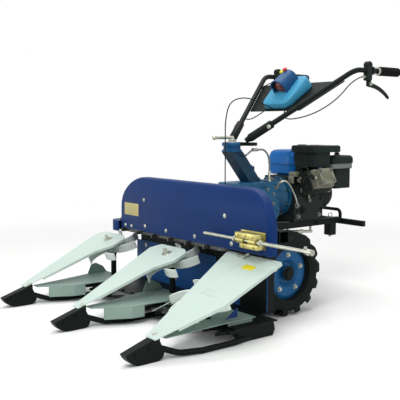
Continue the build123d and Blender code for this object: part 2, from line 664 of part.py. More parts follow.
# Clutch levers under the handle tubes, each on a clamp with a round switch on top
clamp_z = TUBE_BEND[2] - CLAMP_LOW
with BuildPart() as levers:
    for _, sign in SIDES:
        clamp_x = sign * TUBE_BEND[0]
        with BuildSketch(facing(CLAMP_Y + CLAMP_SIZE[1] / 2)):
            with Locations((clamp_x, clamp_z)):
                RectangleRounded(CLAMP_SIZE[0], CLAMP_SIZE[2], CLAMP_LOW)
        extrude(amount=CLAMP_SIZE[1])
        with BuildSketch(side(clamp_x - CLAMP_SIZE[0] / 2)):
            with Locations((CLAMP_Y, clamp_z + CLAMP_SIZE[2] / 2)):
                Circle(SWITCH_R)
        extrude(amount=CLAMP_SIZE[0])
        with BuildLine() as lever_path:
            FilletPolyline(
                at(clamp_x, CLAMP_Y, clamp_z),
                *[at(clamp_x, CLAMP_Y + y, TUBE_BEND[2] + z) for y, z in LEVER_RUN], radius=LEVER_BEND_R,
            )
        with BuildSketch(Plane(origin=lever_path.line @ 0, x_dir=(1, 0, 0), z_dir=lever_path.line % 0)):
            RectangleRounded(*LEVER_SIZE, LEVER_SIZE[1] / 3)
        sweep(path=lever_path.line)
        with BuildSketch(facing(CLAMP_Y + CLAMP_SIZE[1])):
            with Locations((clamp_x, TUBE_BEND[2])):
                Circle(TUBE_R)
        extrude(amount=2 * CLAMP_SIZE[1], mode=Mode.SUBTRACT)
write("levers", levers.part)

# Console between the handle tubes: a black tray under a blue wedge with a hooded lamp
CONSOLE_TILT = atan2(TUBE_BEND[2] - TUBE_FOOT[2], TUBE_BEND[1] - TUBE_FOOT[1])
console_base = Plane(
    origin=at(0, TUBE_FOOT[1], TUBE_FOOT[2]), x_dir=(1, 0, 0),
    z_dir=(0, -sin(CONSOLE_TILT), cos(CONSOLE_TILT)),
)
console_side = Plane(
    origin=console_base.origin, x_dir=(0, cos(CONSOLE_TILT), sin(CONSOLE_TILT)), z_dir=(1, 0, 0),
)
tube_spread = (TUBE_BEND[0] - TUBE_FOOT[0]) / (
    Vector(0, *TUBE_BEND[1:]) - Vector(0, *TUBE_FOOT[1:])
).length
with BuildPart() as console_tray:
    with BuildSketch(console_base.offset(-TUBE_R - CONSOLE_TRAY_T)):
        with BuildLine():
            half_from = TUBE_FOOT[0] + tube_spread * TRAY_SPAN[0]
            half_to = TUBE_FOOT[0] + tube_spread * TRAY_SPAN[1]
            Polyline(
                (-half_from, TRAY_SPAN[0]), (half_from, TRAY_SPAN[0]), (half_to, TRAY_SPAN[1]),
                (-half_to, TRAY_SPAN[1]), close=True,
            )
        make_face()
    extrude(amount=CONSOLE_TRAY_T)
write("console_tray", console_tray.part)

hood_plane = Plane(
    origin=console_base.origin + console_side.x_dir * CONSOLE_SPAN[1], x_dir=(1, 0, 0),
    z_dir=-console_side.x_dir,
)
lamp_plane = hood_plane.offset(CONSOLE_SPAN[1] - HOOD_AT - LAMP_SET)
lamp_rise = LAMP_RISE + (HOOD_R - LAMP_R) / 2
with BuildPart() as console:
    with BuildSketch(console_side.offset(-CONSOLE_HALF)):
        with BuildLine():
            Polyline(
                (CONSOLE_SPAN[0], -TUBE_R), (CONSOLE_SPAN[0], CONSOLE_RISE[0]), (HOOD_AT, CONSOLE_RISE[1]),
                (CONSOLE_SPAN[1], CONSOLE_RISE[2]), (CONSOLE_SPAN[1], -TUBE_R), close=True,
            )
        make_face()
    extrude(amount=2 * CONSOLE_HALF)
    upright_edges = edges().filter_by(Axis((0, 0, 0), console_base.z_dir))
    fillet(upright_edges, CONSOLE_EDGE_R)
    with BuildSketch(hood_plane):
        with Locations((0, LAMP_RISE)):
            Circle(HOOD_R)
        with Locations((0, LAMP_RISE / 2)):
            Rectangle(2 * HOOD_R, LAMP_RISE)
    extrude(amount=CONSOLE_SPAN[1] - HOOD_AT + HOOD_OUT)
    split(bisect_by=console_base.offset(-TUBE_R), keep=Keep.TOP)
    with BuildSketch(lamp_plane):
        with Locations((0, lamp_rise)):
            Circle(LAMP_R)
    extrude(amount=LAMP_SET + HOOD_OUT + LAMP_R, mode=Mode.SUBTRACT)
write("console", console.part)

with BuildPart() as headlamp:
    with BuildSketch(lamp_plane):
        with Locations((0, lamp_rise)):
            Circle(LAMP_R)
    extrude(amount=LAMP_T)
write("headlamp", headlamp.part)

# Swivel lever: a stud on the head with a bar pointing forward
with BuildPart() as swivel_lever:
    with BuildSketch(level(HEAD_Z + HEAD_T, 0, SWIVEL_Y)):
        Circle(STUD_R)
    extrude(amount=STUD_H)
    with BuildSketch(facing(SWIVEL_Y + STUD_R / 2)):
        with Locations((0, HEAD_Z + HEAD_T + STUD_H)):
            Circle(BAR_R)
    extrude(amount=BAR_LEN)
write("swivel_lever", swivel_lever.part)

# Cables on the handlebar: one from the console down to the column, and one from each lever
tray_edge = console_base.origin + console_side.x_dir * TRAY_SPAN[0] - console_base.z_dir * (
    TUBE_R + CONSOLE_TRAY_T / 2
)
with BuildPart() as handle_cables:
    cable_corners = [at(FRONT_CABLE_X, y, z) for y, z in FRONT_CABLE]
    cable_exit = tray_edge + Vector(FRONT_CABLE_X, 0, 0)
    cable_start = cable_exit - (cable_corners[0] - cable_exit).normalized() * 2 * CABLE_R
    with BuildLine() as front_cable:
        FilletPolyline(
            cable_start, *cable_corners, at(FRONT_CABLE_X, FRONT_CABLE_Y, CABLE_SPLIT_Z),
            radius=FRONT_CABLE_R,
        )
    with BuildSketch(Plane(origin=front_cable.line @ 0, z_dir=front_cable.line % 0)):
        Circle(CABLE_R)
    sweep(path=front_cable.line)
    split(bisect_by=Plane(origin=tray_edge, z_dir=-console_side.x_dir), keep=Keep.TOP)
    for _, sign in SIDES:
        with BuildLine() as lever_cable:
            tail_end = tray_edge + Vector(sign * LEVER_CABLE_TAIL[0], 0, 0)
            FilletPolyline(
                at(sign * LEVER_CABLE[0][0], CLAMP_Y - CLAMP_SIZE[1] / 2, LEVER_CABLE[0][2]),
                *[at(sign * x, y, z) for x, y, z in LEVER_CABLE],
                tail_end - console_side.x_dir * LEVER_CABLE_TAIL[1], tail_end, radius=LEVER_CABLE_R,
            )
        with BuildSketch(Plane(origin=lever_cable.line @ 0, z_dir=lever_cable.line % 0)):
            Circle(CABLE_R)
        sweep(path=lever_cable.line)
write("handle_cables", handle_cables.part)

# Cables on the column: the front cable's lower run, and the clutch cable down to the gearbox
with BuildPart() as column_cables:
    with BuildLine() as lower_cable:
        FilletPolyline(
            at(FRONT_CABLE_X, FRONT_CABLE_Y, CABLE_SPLIT_Z - CABLE_GAP),
            at(FRONT_CABLE_X, FRONT_CABLE_Y, FRONT_CABLE_FOOT_Z),
            at(FRONT_CABLE_X, GEARBOX_FRONT_Y, FRONT_CABLE_FOOT_Z), radius=FRONT_CABLE_FOOT_R,
        )
    with BuildSketch(Plane(origin=lower_cable.line @ 0, z_dir=lower_cable.line % 0)):
        Circle(CABLE_R)
    sweep(path=lower_cable.line)
    with BuildLine() as clutch_cable:
        FilletPolyline(
            at(COLUMN_HALF, *CLUTCH_CABLE[0][1:]), *[at(*point) for point in CLUTCH_CABLE],
            at(CLUTCH_CABLE[-1][0], CLUTCH_CABLE[-1][1], GEARBOX_TOP_Z), radius=CLUTCH_CABLE_R,
        )
    with BuildSketch(Plane(origin=clutch_cable.line @ 0, z_dir=clutch_cable.line % 0)):
        Circle(CABLE_R)
    sweep(path=clutch_cable.line)
write("column_cables", column_cables.part)

# Engine: crankcase and finned cylinder in one casting, open to the fan at the rear
cylinder_run = Vector(cos(radians(CYL_TILT)), 0, sin(radians(CYL_TILT)))


def cylinder_plane(distance):
    """A plane square to the cylinder, counted from the crankshaft."""
    return Plane(origin=at(0, CYL_Y, CRANK_Z) + cylinder_run * distance, x_dir=(0, 1, 0), z_dir=cylinder_run)


def crankcase_outline(inset):
    """The crankcase seen from the front, or its inner space."""
    half = CRANKCASE_HALF - inset
    low, high = ENGINE_BASE_Z + inset, CRANKCASE_TOP_Z - inset
    flat_left, flat_right = CRANKCASE_SHOULDER[0] - inset, inset - CRANKCASE_SHOULDER[1]
    return (-half, low), (half, low), (half, CRANK_Z), (flat_left, high), (flat_right, high), (-half, CRANK_Z)


case_length = CASE_REAR_Y - ENGINE_FRONT_Y
with BuildPart() as crankcase:
    with BuildSketch(facing(CASE_REAR_Y)):
        with BuildLine():
            Polyline(*crankcase_outline(0), close=True)
        make_face()
    extrude(amount=case_length)
    with BuildSketch(cylinder_plane(CYL_START)):
        Rectangle(2 * CYL_HALF_W, 2 * CYL_HALF_H)
    extrude(amount=CYL_END - CYL_START)
    for number in range(FIN_COUNT):
        with BuildSketch(cylinder_plane(CYL_END - number * FIN_STEP)):
            Rectangle(2 * (CYL_HALF_W + FIN_OUT), 2 * (CYL_HALF_H + FIN_OUT))
        extrude(amount=-FIN_T)
    with BuildSketch(level(CRANK_Z, *EXHAUST_AT)):
        Circle(EXHAUST_R)
    extrude(amount=MUFFLER_Z[0] - CRANK_Z)
    with BuildSketch(facing(CASE_REAR_Y)):
        with BuildLine():
            Polyline(*crankcase_outline(CRANKCASE_WALL), close=True)
        make_face()
    extrude(amount=case_length - CRANKCASE_WALL, mode=Mode.SUBTRACT)
    with BuildSketch(cylinder_plane(CYL_START)):
        Circle(CYL_BORE_R)
    extrude(amount=CYL_END - CYL_START - CYL_LID_T, mode=Mode.SUBTRACT)
write("crankcase", crankcase.part)

with BuildPart() as cylinder_head:
    with BuildSketch(cylinder_plane(CYL_END)):
        Rectangle(2 * CYL_HALF_W, 2 * CYL_HALF_H)
    extrude(amount=HEAD_LEN)
    with BuildSketch(cylinder_plane(CYL_END + HEAD_LEN)):
        RectangleRounded(*ROCKER_SIZE)
    extrude(amount=ROCKER_LEN)
write("cylinder_head", cylinder_head.part)

# Fan shroud with the recoil starter's slotted housing
with BuildPart() as fan_shroud:
    fan_plane = Plane(origin=at(0, 0, CRANK_Z), x_dir=(0, 1, 0), z_dir=(0, 0, 1))
    recoil_rim = RECOIL_R - RECOIL_DRAFT
    with BuildSketch(fan_plane):
        with BuildLine():
            Polyline(
                (CASE_REAR_Y, SHROUD_R), (SHROUD_Y, SHROUD_R), (SHROUD_Y, RECOIL_R), (RECOIL_Y, recoil_rim),
                (RECOIL_Y, 0), (RECOIL_Y - SHROUD_T, 0), (RECOIL_Y - SHROUD_T, recoil_rim - SHROUD_T),
                (SHROUD_Y - SHROUD_T, RECOIL_R - SHROUD_T), (SHROUD_Y - SHROUD_T, SHROUD_R - SHROUD_T),
                (CASE_REAR_Y, SHROUD_R - SHROUD_T), close=True,
            )
        make_face()
    revolve(axis=Axis(fan_plane.origin, (0, 1, 0)))
    with BuildSketch(Plane(origin=at(0, RECOIL_Y, CRANK_Z), x_dir=(1, 0, 0), z_dir=(0, -1, 0))):
        with PolarLocations(GRILLE_R, GRILLE_SLOTS):
            SlotOverall(*SLOT_SIZE)
    extrude(amount=SHROUD_T, mode=Mode.SUBTRACT)
write("fan_shroud", fan_shroud.part)

# Fuel tank on the crankcase, with its cap
tank_mid = (middle(*TANK[:2]), middle(*TANK[2:]))
tank_size = (TANK[1] - TANK[0] - 2 * TANK_SEAM[0], TANK[3] - TANK[2] - 2 * TANK_SEAM[0])
tank_height = TANK_TOP_Z - CRANKCASE_TOP_Z
with BuildPart() as tank_space:
    with BuildSketch(level(CRANKCASE_TOP_Z + TANK_WALL, *tank_mid)):
        RectangleRounded(*[size - 2 * TANK_WALL for size in tank_size], TANK_CORNER_R - TANK_WALL)
    extrude(amount=tank_height - 2 * TANK_WALL)
    fillet(faces().sort_by(Axis.Z)[-1].edges(), TANK_TOP_R - TANK_WALL)

with BuildPart() as fuel_tank:
    with BuildSketch(level(CRANKCASE_TOP_Z, *tank_mid)):
        RectangleRounded(*tank_size, TANK_CORNER_R)
    extrude(amount=tank_height)
    fillet(faces().sort_by(Axis.Z)[-1].edges(), TANK_TOP_R)
    with BuildSketch(level(middle(CRANKCASE_TOP_Z, TANK_TOP_Z) - TANK_SEAM[1], *tank_mid)):
        RectangleRounded(*[size + 2 * TANK_SEAM[0] for size in tank_size], TANK_CORNER_R + TANK_SEAM[0])
    extrude(amount=TANK_SEAM[1])
    add(tank_space.part, mode=Mode.SUBTRACT)
write("fuel_tank", fuel_tank.part)

with BuildPart() as fuel_cap:
    with BuildSketch(level(TANK_TOP_Z, tank_mid[0], tank_mid[1] + CAP_R)):
        Circle(CAP_R)
    extrude(amount=CAP_H)
    fillet(faces().sort_by(Axis.Z)[-1].edges(), CAP_H / 4)
write("fuel_cap", fuel_cap.part)

# Muffler over the cylinder, under a heat shield that also covers the air cleaner
muffler_mid = (middle(*MUFFLER[:2]), middle(*MUFFLER[2:]))
muffler_size = (MUFFLER[1] - MUFFLER[0], MUFFLER[3] - MUFFLER[2])
muffler_height = MUFFLER_Z[1] - MUFFLER_Z[0]
with BuildPart() as muffler:
    with BuildSketch(level(MUFFLER_Z[0], *muffler_mid)):
        RectangleRounded(*muffler_size, MUFFLER_R)
    extrude(amount=muffler_height)
    with BuildSketch(level(MUFFLER_Z[0] - MUFFLER_STEP[1], MUFFLER[0] + MUFFLER_STEP[0] / 2, muffler_mid[1])):
        Rectangle(MUFFLER_STEP[0], muffler_size[1] - 2 * MUFFLER_R)
    extrude(amount=MUFFLER_STEP[1])
    shield_reach = SHIELD_OUT[1] - SHIELD_OUT[0]
    with BuildSketch(level(MUFFLER_Z[1], muffler_mid[0], muffler_mid[1] + shield_reach / 2)):
        RectangleRounded(
            muffler_size[0] + 2 * SHIELD_OUT[0], muffler_size[1] + 2 * SHIELD_OUT[0] + shield_reach,
            MUFFLER_R,
        )
    extrude(amount=SHIELD_T, taper=SHIELD_T)
    with BuildSketch(level(MUFFLER_Z[0] + MUFFLER_WALL, *muffler_mid)):
        RectangleRounded(*[size - 2 * MUFFLER_WALL for size in muffler_size], MUFFLER_R - MUFFLER_WALL)
    extrude(amount=muffler_height - MUFFLER_WALL, mode=Mode.SUBTRACT)
write("muffler", muffler.part)

# Air cleaner: a cap on a narrower band, over the duct to the cylinder
cleaner_mid = (middle(*CLEANER[:2]), middle(*CLEANER[2:]))
cleaner_size = (CLEANER[1] - CLEANER[0], CLEANER[3] - CLEANER[2])
cap_height = CLEANER_Z[2] - CLEANER_Z[1]
with BuildPart() as air_cleaner:
    with BuildSketch(level(CLEANER_Z[1], *cleaner_mid)):
        RectangleRounded(*cleaner_size, CLEANER_R)
    extrude(amount=cap_height)
    fillet(faces().sort_by(Axis.Z)[-1].edges(), cap_height / 2)
    with BuildSketch(level(CLEANER_Z[0], *cleaner_mid)):
        RectangleRounded(*[size - 2 * BAND_INSET for size in cleaner_size], CLEANER_R - BAND_INSET)
    extrude(amount=CLEANER_Z[1] - CLEANER_Z[0])
    with BuildSketch(level(CLEANER_Z[0] + CLEANER_WALL, *cleaner_mid)):
        inner_inset = BAND_INSET + CLEANER_WALL
        RectangleRounded(*[size - 2 * inner_inset for size in cleaner_size], CLEANER_R - inner_inset)
    extrude(amount=CLEANER_Z[2] - CLEANER_Z[0] - 3 * CLEANER_WALL, mode=Mode.SUBTRACT)
    duct_front = CLEANER[2] + DUCT_INSET[1]
    with BuildSketch(level(DUCT_Z, cleaner_mid[0], middle(duct_front, CLEANER[3] - BAND_INSET))):
        RectangleRounded(
            cleaner_size[0] - 2 * DUCT_INSET[0], CLEANER[3] - BAND_INSET - duct_front, CLEANER_R / 2,
        )
    extrude(amount=CLEANER_Z[0] - DUCT_Z)
    with BuildSketch(facing(duct_front)):
        with Locations(INTAKE_AT):
            Circle(INTAKE_R)
    extrude(amount=duct_front - CYL_Y - CYL_HALF_W - FIN_OUT)
write("air_cleaner", air_cleaner.part)

# Engine bed: two rails on the gearbox's sides and the plate that the engine stands on
rail_x = GEARBOX_HALF + RAIL_W / 2
rail_end_y = BUMPER_Y - BUMPER_SECTION[0] / 2
rail_height = RAIL_Z[1] - RAIL_Z[0]
with BuildPart() as engine_bed:
    for _, sign in SIDES:
        with BuildSketch(facing(rail_end_y)):
            with Locations((sign * rail_x, middle(*RAIL_Z))):
                Rectangle(RAIL_W, rail_height)
                Rectangle(RAIL_W - 2 * RAIL_WALL, rail_height - 2 * RAIL_WALL, mode=Mode.SUBTRACT)
        extrude(amount=rail_end_y - RAIL_START_Y)
    with BuildSketch(level(RAIL_Z[1], 0, middle(ENGINE_FRONT_Y, CASE_REAR_Y))):
        Rectangle(2 * (GEARBOX_HALF + RAIL_W), case_length)
    extrude(amount=BED_T)
write("engine_bed", engine_bed.part)

# Shift rod under the left rail, hung from two tabs
with BuildPart() as link_rod:
    link_ends = [at(rail_x, y, RAIL_Z[0] - drop) for y, drop in zip(LINK_SPAN, LINK_DROP)]
    with BuildSketch(Plane(origin=link_ends[0], x_dir=(1, 0, 0), z_dir=link_ends[1] - link_ends[0])):
        Circle(LINK_R)
    extrude(amount=(link_ends[1] - link_ends[0]).length)
    for end, inward in zip(link_ends, (LINK_TAB, -LINK_TAB)):
        with BuildSketch(Plane(origin=(end.X, end.Y + inward, end.Z))):
            Rectangle(LINK_TAB, LINK_TAB)
        extrude(amount=RAIL_Z[0] - end.Z)
write("link_rod", link_rod.part)

# Rear bumper: a cross bar with a hoop, and the hitch socket behind it
with BuildPart() as rear_bumper:
    bar_z = RAIL_Z[1] - BUMPER_DROP - BUMPER_SECTION[1] / 2
    with BuildSketch(side(-BUMPER_HALF)):
        with Locations((BUMPER_Y, bar_z)):
            Rectangle(*BUMPER_SECTION)
    extrude(amount=2 * BUMPER_HALF)
    hoop_top = HOOP_TOP_Z - HOOP_R
    with BuildLine() as hoop_path:
        FilletPolyline(
            at(-HOOP_HALF, BUMPER_Y, bar_z), at(-HOOP_HALF, BUMPER_Y, hoop_top),
            at(HOOP_HALF, BUMPER_Y, hoop_top), at(HOOP_HALF, BUMPER_Y, bar_z), radius=HOOP_BEND_R,
        )
    with BuildSketch(Plane(origin=hoop_path.line @ 0, z_dir=hoop_path.line % 0)):
        Circle(HOOP_R)
    sweep(path=hoop_path.line)
    with BuildSketch(level(HITCH_Z[0], 0, BUMPER_Y + BUMPER_SECTION[0] / 2 + HITCH_HALF - 1)):
        Rectangle(2 * HITCH_HALF, 2 * HITCH_HALF)
        Circle(HITCH_BORE_R, mode=Mode.SUBTRACT)
    extrude(amount=HITCH_Z[1] - HITCH_Z[0])
write("rear_bumper", rear_bumper.part)

# Header frame: beam inside the cover, uprights and a plate behind the wall, and the neck to the gearbox
beam_ends = (WALL_X[0] + UPRIGHT_W / 2, COVER_X[1] - UPRIGHT_W / 2)
beam_size = (BEAM_Y[1] - BEAM_Y[0], BEAM_Z[1] - BEAM_Z[0])
upright_depth = UPRIGHT_Y[1] - UPRIGHT_Y[0]
with BuildPart() as header_frame:
    with BuildSketch(side(beam_ends[0])):
        with Locations((middle(*BEAM_Y), middle(*BEAM_Z))):
            Rectangle(*beam_size)
            Rectangle(*[size - 2 * BEAM_WALL for size in beam_size], mode=Mode.SUBTRACT)
    extrude(amount=beam_ends[1] - beam_ends[0])
    for upright_x in UPRIGHT_X:
        with BuildSketch(level(DECK_Z[1], upright_x, middle(*UPRIGHT_Y))):
            Rectangle(UPRIGHT_W, upright_depth)
            Rectangle(UPRIGHT_W - 2 * BEAM_WALL, upright_depth - 2 * BEAM_WALL, mode=Mode.SUBTRACT)
        extrude(amount=BEAM_Z[0] - DECK_Z[1])
    back_low = WALL_Z[1] - WALL_NOTCH[2] - BRACKET_T
    with BuildSketch(facing(UPRIGHT_Y[0] + BACK_T)):
        with Locations((middle(UPRIGHT_X[0], UPRIGHT_X[-1]), middle(back_low, BEAM_Z[0]))):
            Rectangle(UPRIGHT_X[-1] - UPRIGHT_X[0] + UPRIGHT_W, BEAM_Z[0] - back_low)
    extrude(amount=BACK_T)
    for bracket_x in BRACKET_X:
        with BuildSketch(facing(BEAM_Y[0])):
            with Locations((bracket_x, middle(*BEAM_Z))):
                Rectangle(BRACKET_W, BRACKET_T)
        extrude(amount=BEAM_Y[0] - COVER_Y[0] - COVER_T)
    with BuildSketch(facing(UPRIGHT_Y[1] + NECK_PLATE_T)):
        with Locations((0, NECK_Z)):
            Rectangle(UPRIGHT_X[2] - UPRIGHT_X[1] + UPRIGHT_W, NECK_PLATE_H)
    extrude(amount=NECK_PLATE_T)
    with BuildSketch(facing(GEARBOX_FRONT_Y)):
        with Locations((0, NECK_Z)):
            Circle(NECK_R)
            Circle(NECK_R - NECK_WALL, mode=Mode.SUBTRACT)
    extrude(amount=GEARBOX_FRONT_Y - UPRIGHT_Y[1] - NECK_PLATE_T)
write("header_frame", header_frame.part)

# Header cover: a pressed hood with rounded top corners, open at the back and below
with BuildPart() as header_cover:
    with BuildSketch(facing(COVER_Y[1])):
        with Locations((middle(*COVER_X), middle(*COVER_Z))):
            Rectangle(COVER_X[1] - COVER_X[0], COVER_Z[1] - COVER_Z[0])
        fillet(vertices().group_by(Axis.Y)[-1], COVER_CORNER_R)
    extrude(amount=COVER_Y[1] - COVER_Y[0])
    front_face = faces().sort_by(Axis.Y)[0]
    bottom_edge = front_face.edges().sort_by(Axis.Z)[0]
    fillet([edge for edge in front_face.edges() if edge != bottom_edge], COVER_EDGE_R)
    openings = [faces().sort_by(Axis.Y)[-1], faces().sort_by(Axis.Z)[0]]
    offset(amount=-COVER_T, openings=openings)
write("header_cover", header_cover.part)

# Lower wall: a sheet that stands on the deck, notched beside the middle divider
with BuildPart() as lower_wall:
    with BuildSketch(facing(WALL_Y + WALL_T)):
        with Locations((middle(*WALL_X), middle(*WALL_Z))):
            Rectangle(WALL_X[1] - WALL_X[0], WALL_Z[1] - WALL_Z[0])
        with Locations((middle(*WALL_NOTCH[:2]), WALL_Z[1])):
            notch_width = WALL_NOTCH[1] - WALL_NOTCH[0]
            RectangleRounded(notch_width, 2 * WALL_NOTCH[2], WALL_NOTCH[3], mode=Mode.SUBTRACT)
    extrude(amount=WALL_T)
write("lower_wall", lower_wall.part)

# Deck: the floor of the header, with a wing for the left runner in front of the wheel
deck_left = WALL_X[1] + WALL_T
with BuildPart() as deck:
    with BuildSketch(level(DECK_Z[0])):
        with BuildLine():
            Polyline(
                (WALL_X[0], DECK_Y[0]), (DECK_WING[0], DECK_Y[0]), DECK_WING, (deck_left, DECK_WING[1]),
                (deck_left, DECK_Y[1]), (WALL_X[0], DECK_Y[1]), close=True,
            )
        make_face()
    extrude(amount=DECK_Z[1] - DECK_Z[0])
write("deck", deck.part)

# Cutter bar: finger bar with its guards along the deck's front edge
bar_mid = middle(*BAR_X)
bar_front = BAR_Y[0]
with BuildPart() as cutter_bar:
    with BuildSketch(level(BAR_Z[0])):
        with Locations((bar_mid, middle(*BAR_Y))):
            Rectangle(BAR_X[1] - BAR_X[0], BAR_Y[1] - BAR_Y[0])
    extrude(amount=BAR_Z[1] - BAR_Z[0])
    with BuildSketch(level(BAR_Z[0])):
        for number in range(GUARD_COUNT):
            guard_x = bar_mid + (number - (GUARD_COUNT - 1) / 2) * GUARD_PITCH
            with BuildLine():
                Polyline(
                    (guard_x - GUARD_HALF[0], bar_front), (guard_x + GUARD_HALF[0], bar_front),
                    (guard_x + GUARD_HALF[1], bar_front - GUARD_LEN),
                    (guard_x - GUARD_HALF[1], bar_front - GUARD_LEN), close=True,
                )
            make_face()
    extrude(amount=BAR_Z[1] - BAR_Z[0])
write("cutter_bar", cutter_bar.part)

# Knife: a bar with tapered sections that slides on the cutter bar
knife_half = GUARD_PITCH * (GUARD_COUNT - 1) / 2 - 2 * KNIFE_STROKE
section_count = int(2 * knife_half / GUARD_PITCH)
with BuildPart() as knife:
    with BuildSketch(level(BAR_Z[1] + KNIFE_GAP)):
        with Locations((bar_mid, bar_front + KNIFE_BACK / 2)):
            Rectangle(2 * knife_half, KNIFE_BACK)
        for number in range(section_count):
            section_x = bar_mid + (number - (section_count - 1) / 2) * GUARD_PITCH
            with BuildLine():
                Polyline(
                    (section_x - SECTION_HALF[0], bar_front), (section_x + SECTION_HALF[0], bar_front),
                    (section_x + SECTION_HALF[1], bar_front - SECTION_LEN),
                    (section_x - SECTION_HALF[1], bar_front - SECTION_LEN), close=True,
                )
            make_face()
    extrude(amount=KNIFE_T)
write("knife", knife.part)

# Conveyor chain: one loop with lugs, above the lower wall
chain_length = CHAIN_X[1] - CHAIN_X[0]
chain_height = CHAIN_Z[1] - CHAIN_Z[0]
lug_count = int(chain_length / CHAIN_LUG_STEP)
with BuildPart() as chain:
    with BuildSketch(level(CHAIN_Z[0], 0, CHAIN_Y)):
        with Locations((middle(*CHAIN_X), 0)):
            SlotCenterToCenter(chain_length, 2 * (CHAIN_R + CHAIN_HALF_W))
            SlotCenterToCenter(chain_length, 2 * (CHAIN_R - CHAIN_HALF_W), mode=Mode.SUBTRACT)
        for number in range(lug_count):
            lug_x = CHAIN_X[0] + (number + 0.5) * chain_length / lug_count
            with Locations((lug_x, -CHAIN_R - CHAIN_LUG / 2)):
                Rectangle(CHAIN_LUG_T, CHAIN_LUG + 2 * CHAIN_HALF_W)
    extrude(amount=chain_height)
write("chain", chain.part)

# Sprockets with shafts that hang from the end guard and the beam
with BuildPart() as sprockets:
    for sprocket_x, shaft_top in zip(CHAIN_X, (END_GUARD_TOP_Z - COVER_T, BEAM_Z[0])):
        with BuildSketch(level(CHAIN_Z[0], sprocket_x, CHAIN_Y)):
            Circle(CHAIN_R - CHAIN_HALF_W)
        extrude(amount=chain_height)
        with BuildSketch(level(CHAIN_Z[1], sprocket_x, CHAIN_Y)):
            Circle(SPROCKET_SHAFT_R)
        extrude(amount=shaft_top - CHAIN_Z[1])
write("sprockets", sprockets.part)

# End guard: a cap over the sprocket that stands out past the cover's right end
guard_low = CHAIN_Z[0] - END_GUARD_LOW
guard_cut = COVER_X[0] - CHAIN_X[0] + END_GUARD_R
with BuildPart() as end_guard:
    with BuildSketch(level(guard_low, CHAIN_X[0], CHAIN_Y)):
        Circle(END_GUARD_R)
        Circle(END_GUARD_R - COVER_T, mode=Mode.SUBTRACT)
        with Locations((guard_cut, 0)):
            Rectangle(2 * END_GUARD_R, 2 * END_GUARD_R, mode=Mode.SUBTRACT)
    extrude(amount=END_GUARD_TOP_Z - guard_low)
    with BuildSketch(level(END_GUARD_TOP_Z - COVER_T, CHAIN_X[0], CHAIN_Y)):
        Circle(END_GUARD_R)
        with Locations((guard_cut, 0)):
            Rectangle(2 * END_GUARD_R, 2 * END_GUARD_R, mode=Mode.SUBTRACT)
    extrude(amount=COVER_T)
write("end_guard", end_guard.part)

# Crop guide rod in front of the cover, in two rings on a plate on its face
with BuildPart() as guide_rod:
    with BuildSketch(side(ROD_START_X)):
        with Locations((ROD_Y, ROD_Z)):
            Circle(ROD_R)
    extrude(amount=ROD_END_X - ROD_START_X)
    with BuildSketch(side(ROD_END_X - ROD_EYE[0])):
        with Locations((ROD_Y, ROD_Z)):
            Circle(ROD_EYE[1])
    extrude(amount=ROD_EYE[0])
write("guide_rod", guide_rod.part)

plate_face = COVER_Y[0] - CLAMP_PLATE_T
clamp_length = ROD_CLAMP_X[1] - ROD_CLAMP_X[0]
with BuildPart() as rod_clamp:
    with BuildSketch(side(ROD_CLAMP_X[0])):
        plate_mid = ROD_Z + (CLAMP_PLATE_RISE[1] - CLAMP_PLATE_RISE[0]) / 2
        with Locations((middle(plate_face, COVER_Y[0]), plate_mid)):
            Rectangle(CLAMP_PLATE_T, sum(CLAMP_PLATE_RISE))
    extrude(amount=clamp_length)
    for start in (0.1, 0.6):
        with BuildSketch(side(ROD_CLAMP_X[0] + start * clamp_length)):
            with Locations((middle(ROD_Y, plate_face), ROD_Z)):
                Rectangle(plate_face - ROD_Y, CLAMP_WEB)
            with Locations((ROD_Y, ROD_Z)):
                Circle(ROD_R + CLAMP_RING_T)
                Circle(ROD_R, mode=Mode.SUBTRACT)
        extrude(amount=0.3 * clamp_length)
write("rod_clamp", rod_clamp.part)

# Dividers, from the right of the machine to its left
with BuildSketch() as star_finger:
    with BuildLine():
        tip_in = Vector(STAR_R, -STAR_TIP_HALF).rotate(Axis.Z, STAR_TIP_TURN)
        tip_out = Vector(STAR_R, STAR_TIP_HALF).rotate(Axis.Z, STAR_TIP_TURN)
        mid_in = Vector(0.6 * STAR_R, -STAR_MID_HALF).rotate(Axis.Z, 0.3 * STAR_TIP_TURN)
        mid_out = Vector(0.6 * STAR_R, STAR_MID_HALF).rotate(Axis.Z, 0.3 * STAR_TIP_TURN)
        root = 0.8 * STAR_HUB_R
        ThreePointArc((root, -STAR_MID_HALF), mid_in, tip_in)
        Line(tip_in, tip_out)
        ThreePointArc(tip_out, mid_out, (root, STAR_MID_HALF))
        Line((root, STAR_MID_HALF), (root, -STAR_MID_HALF))
    make_face()

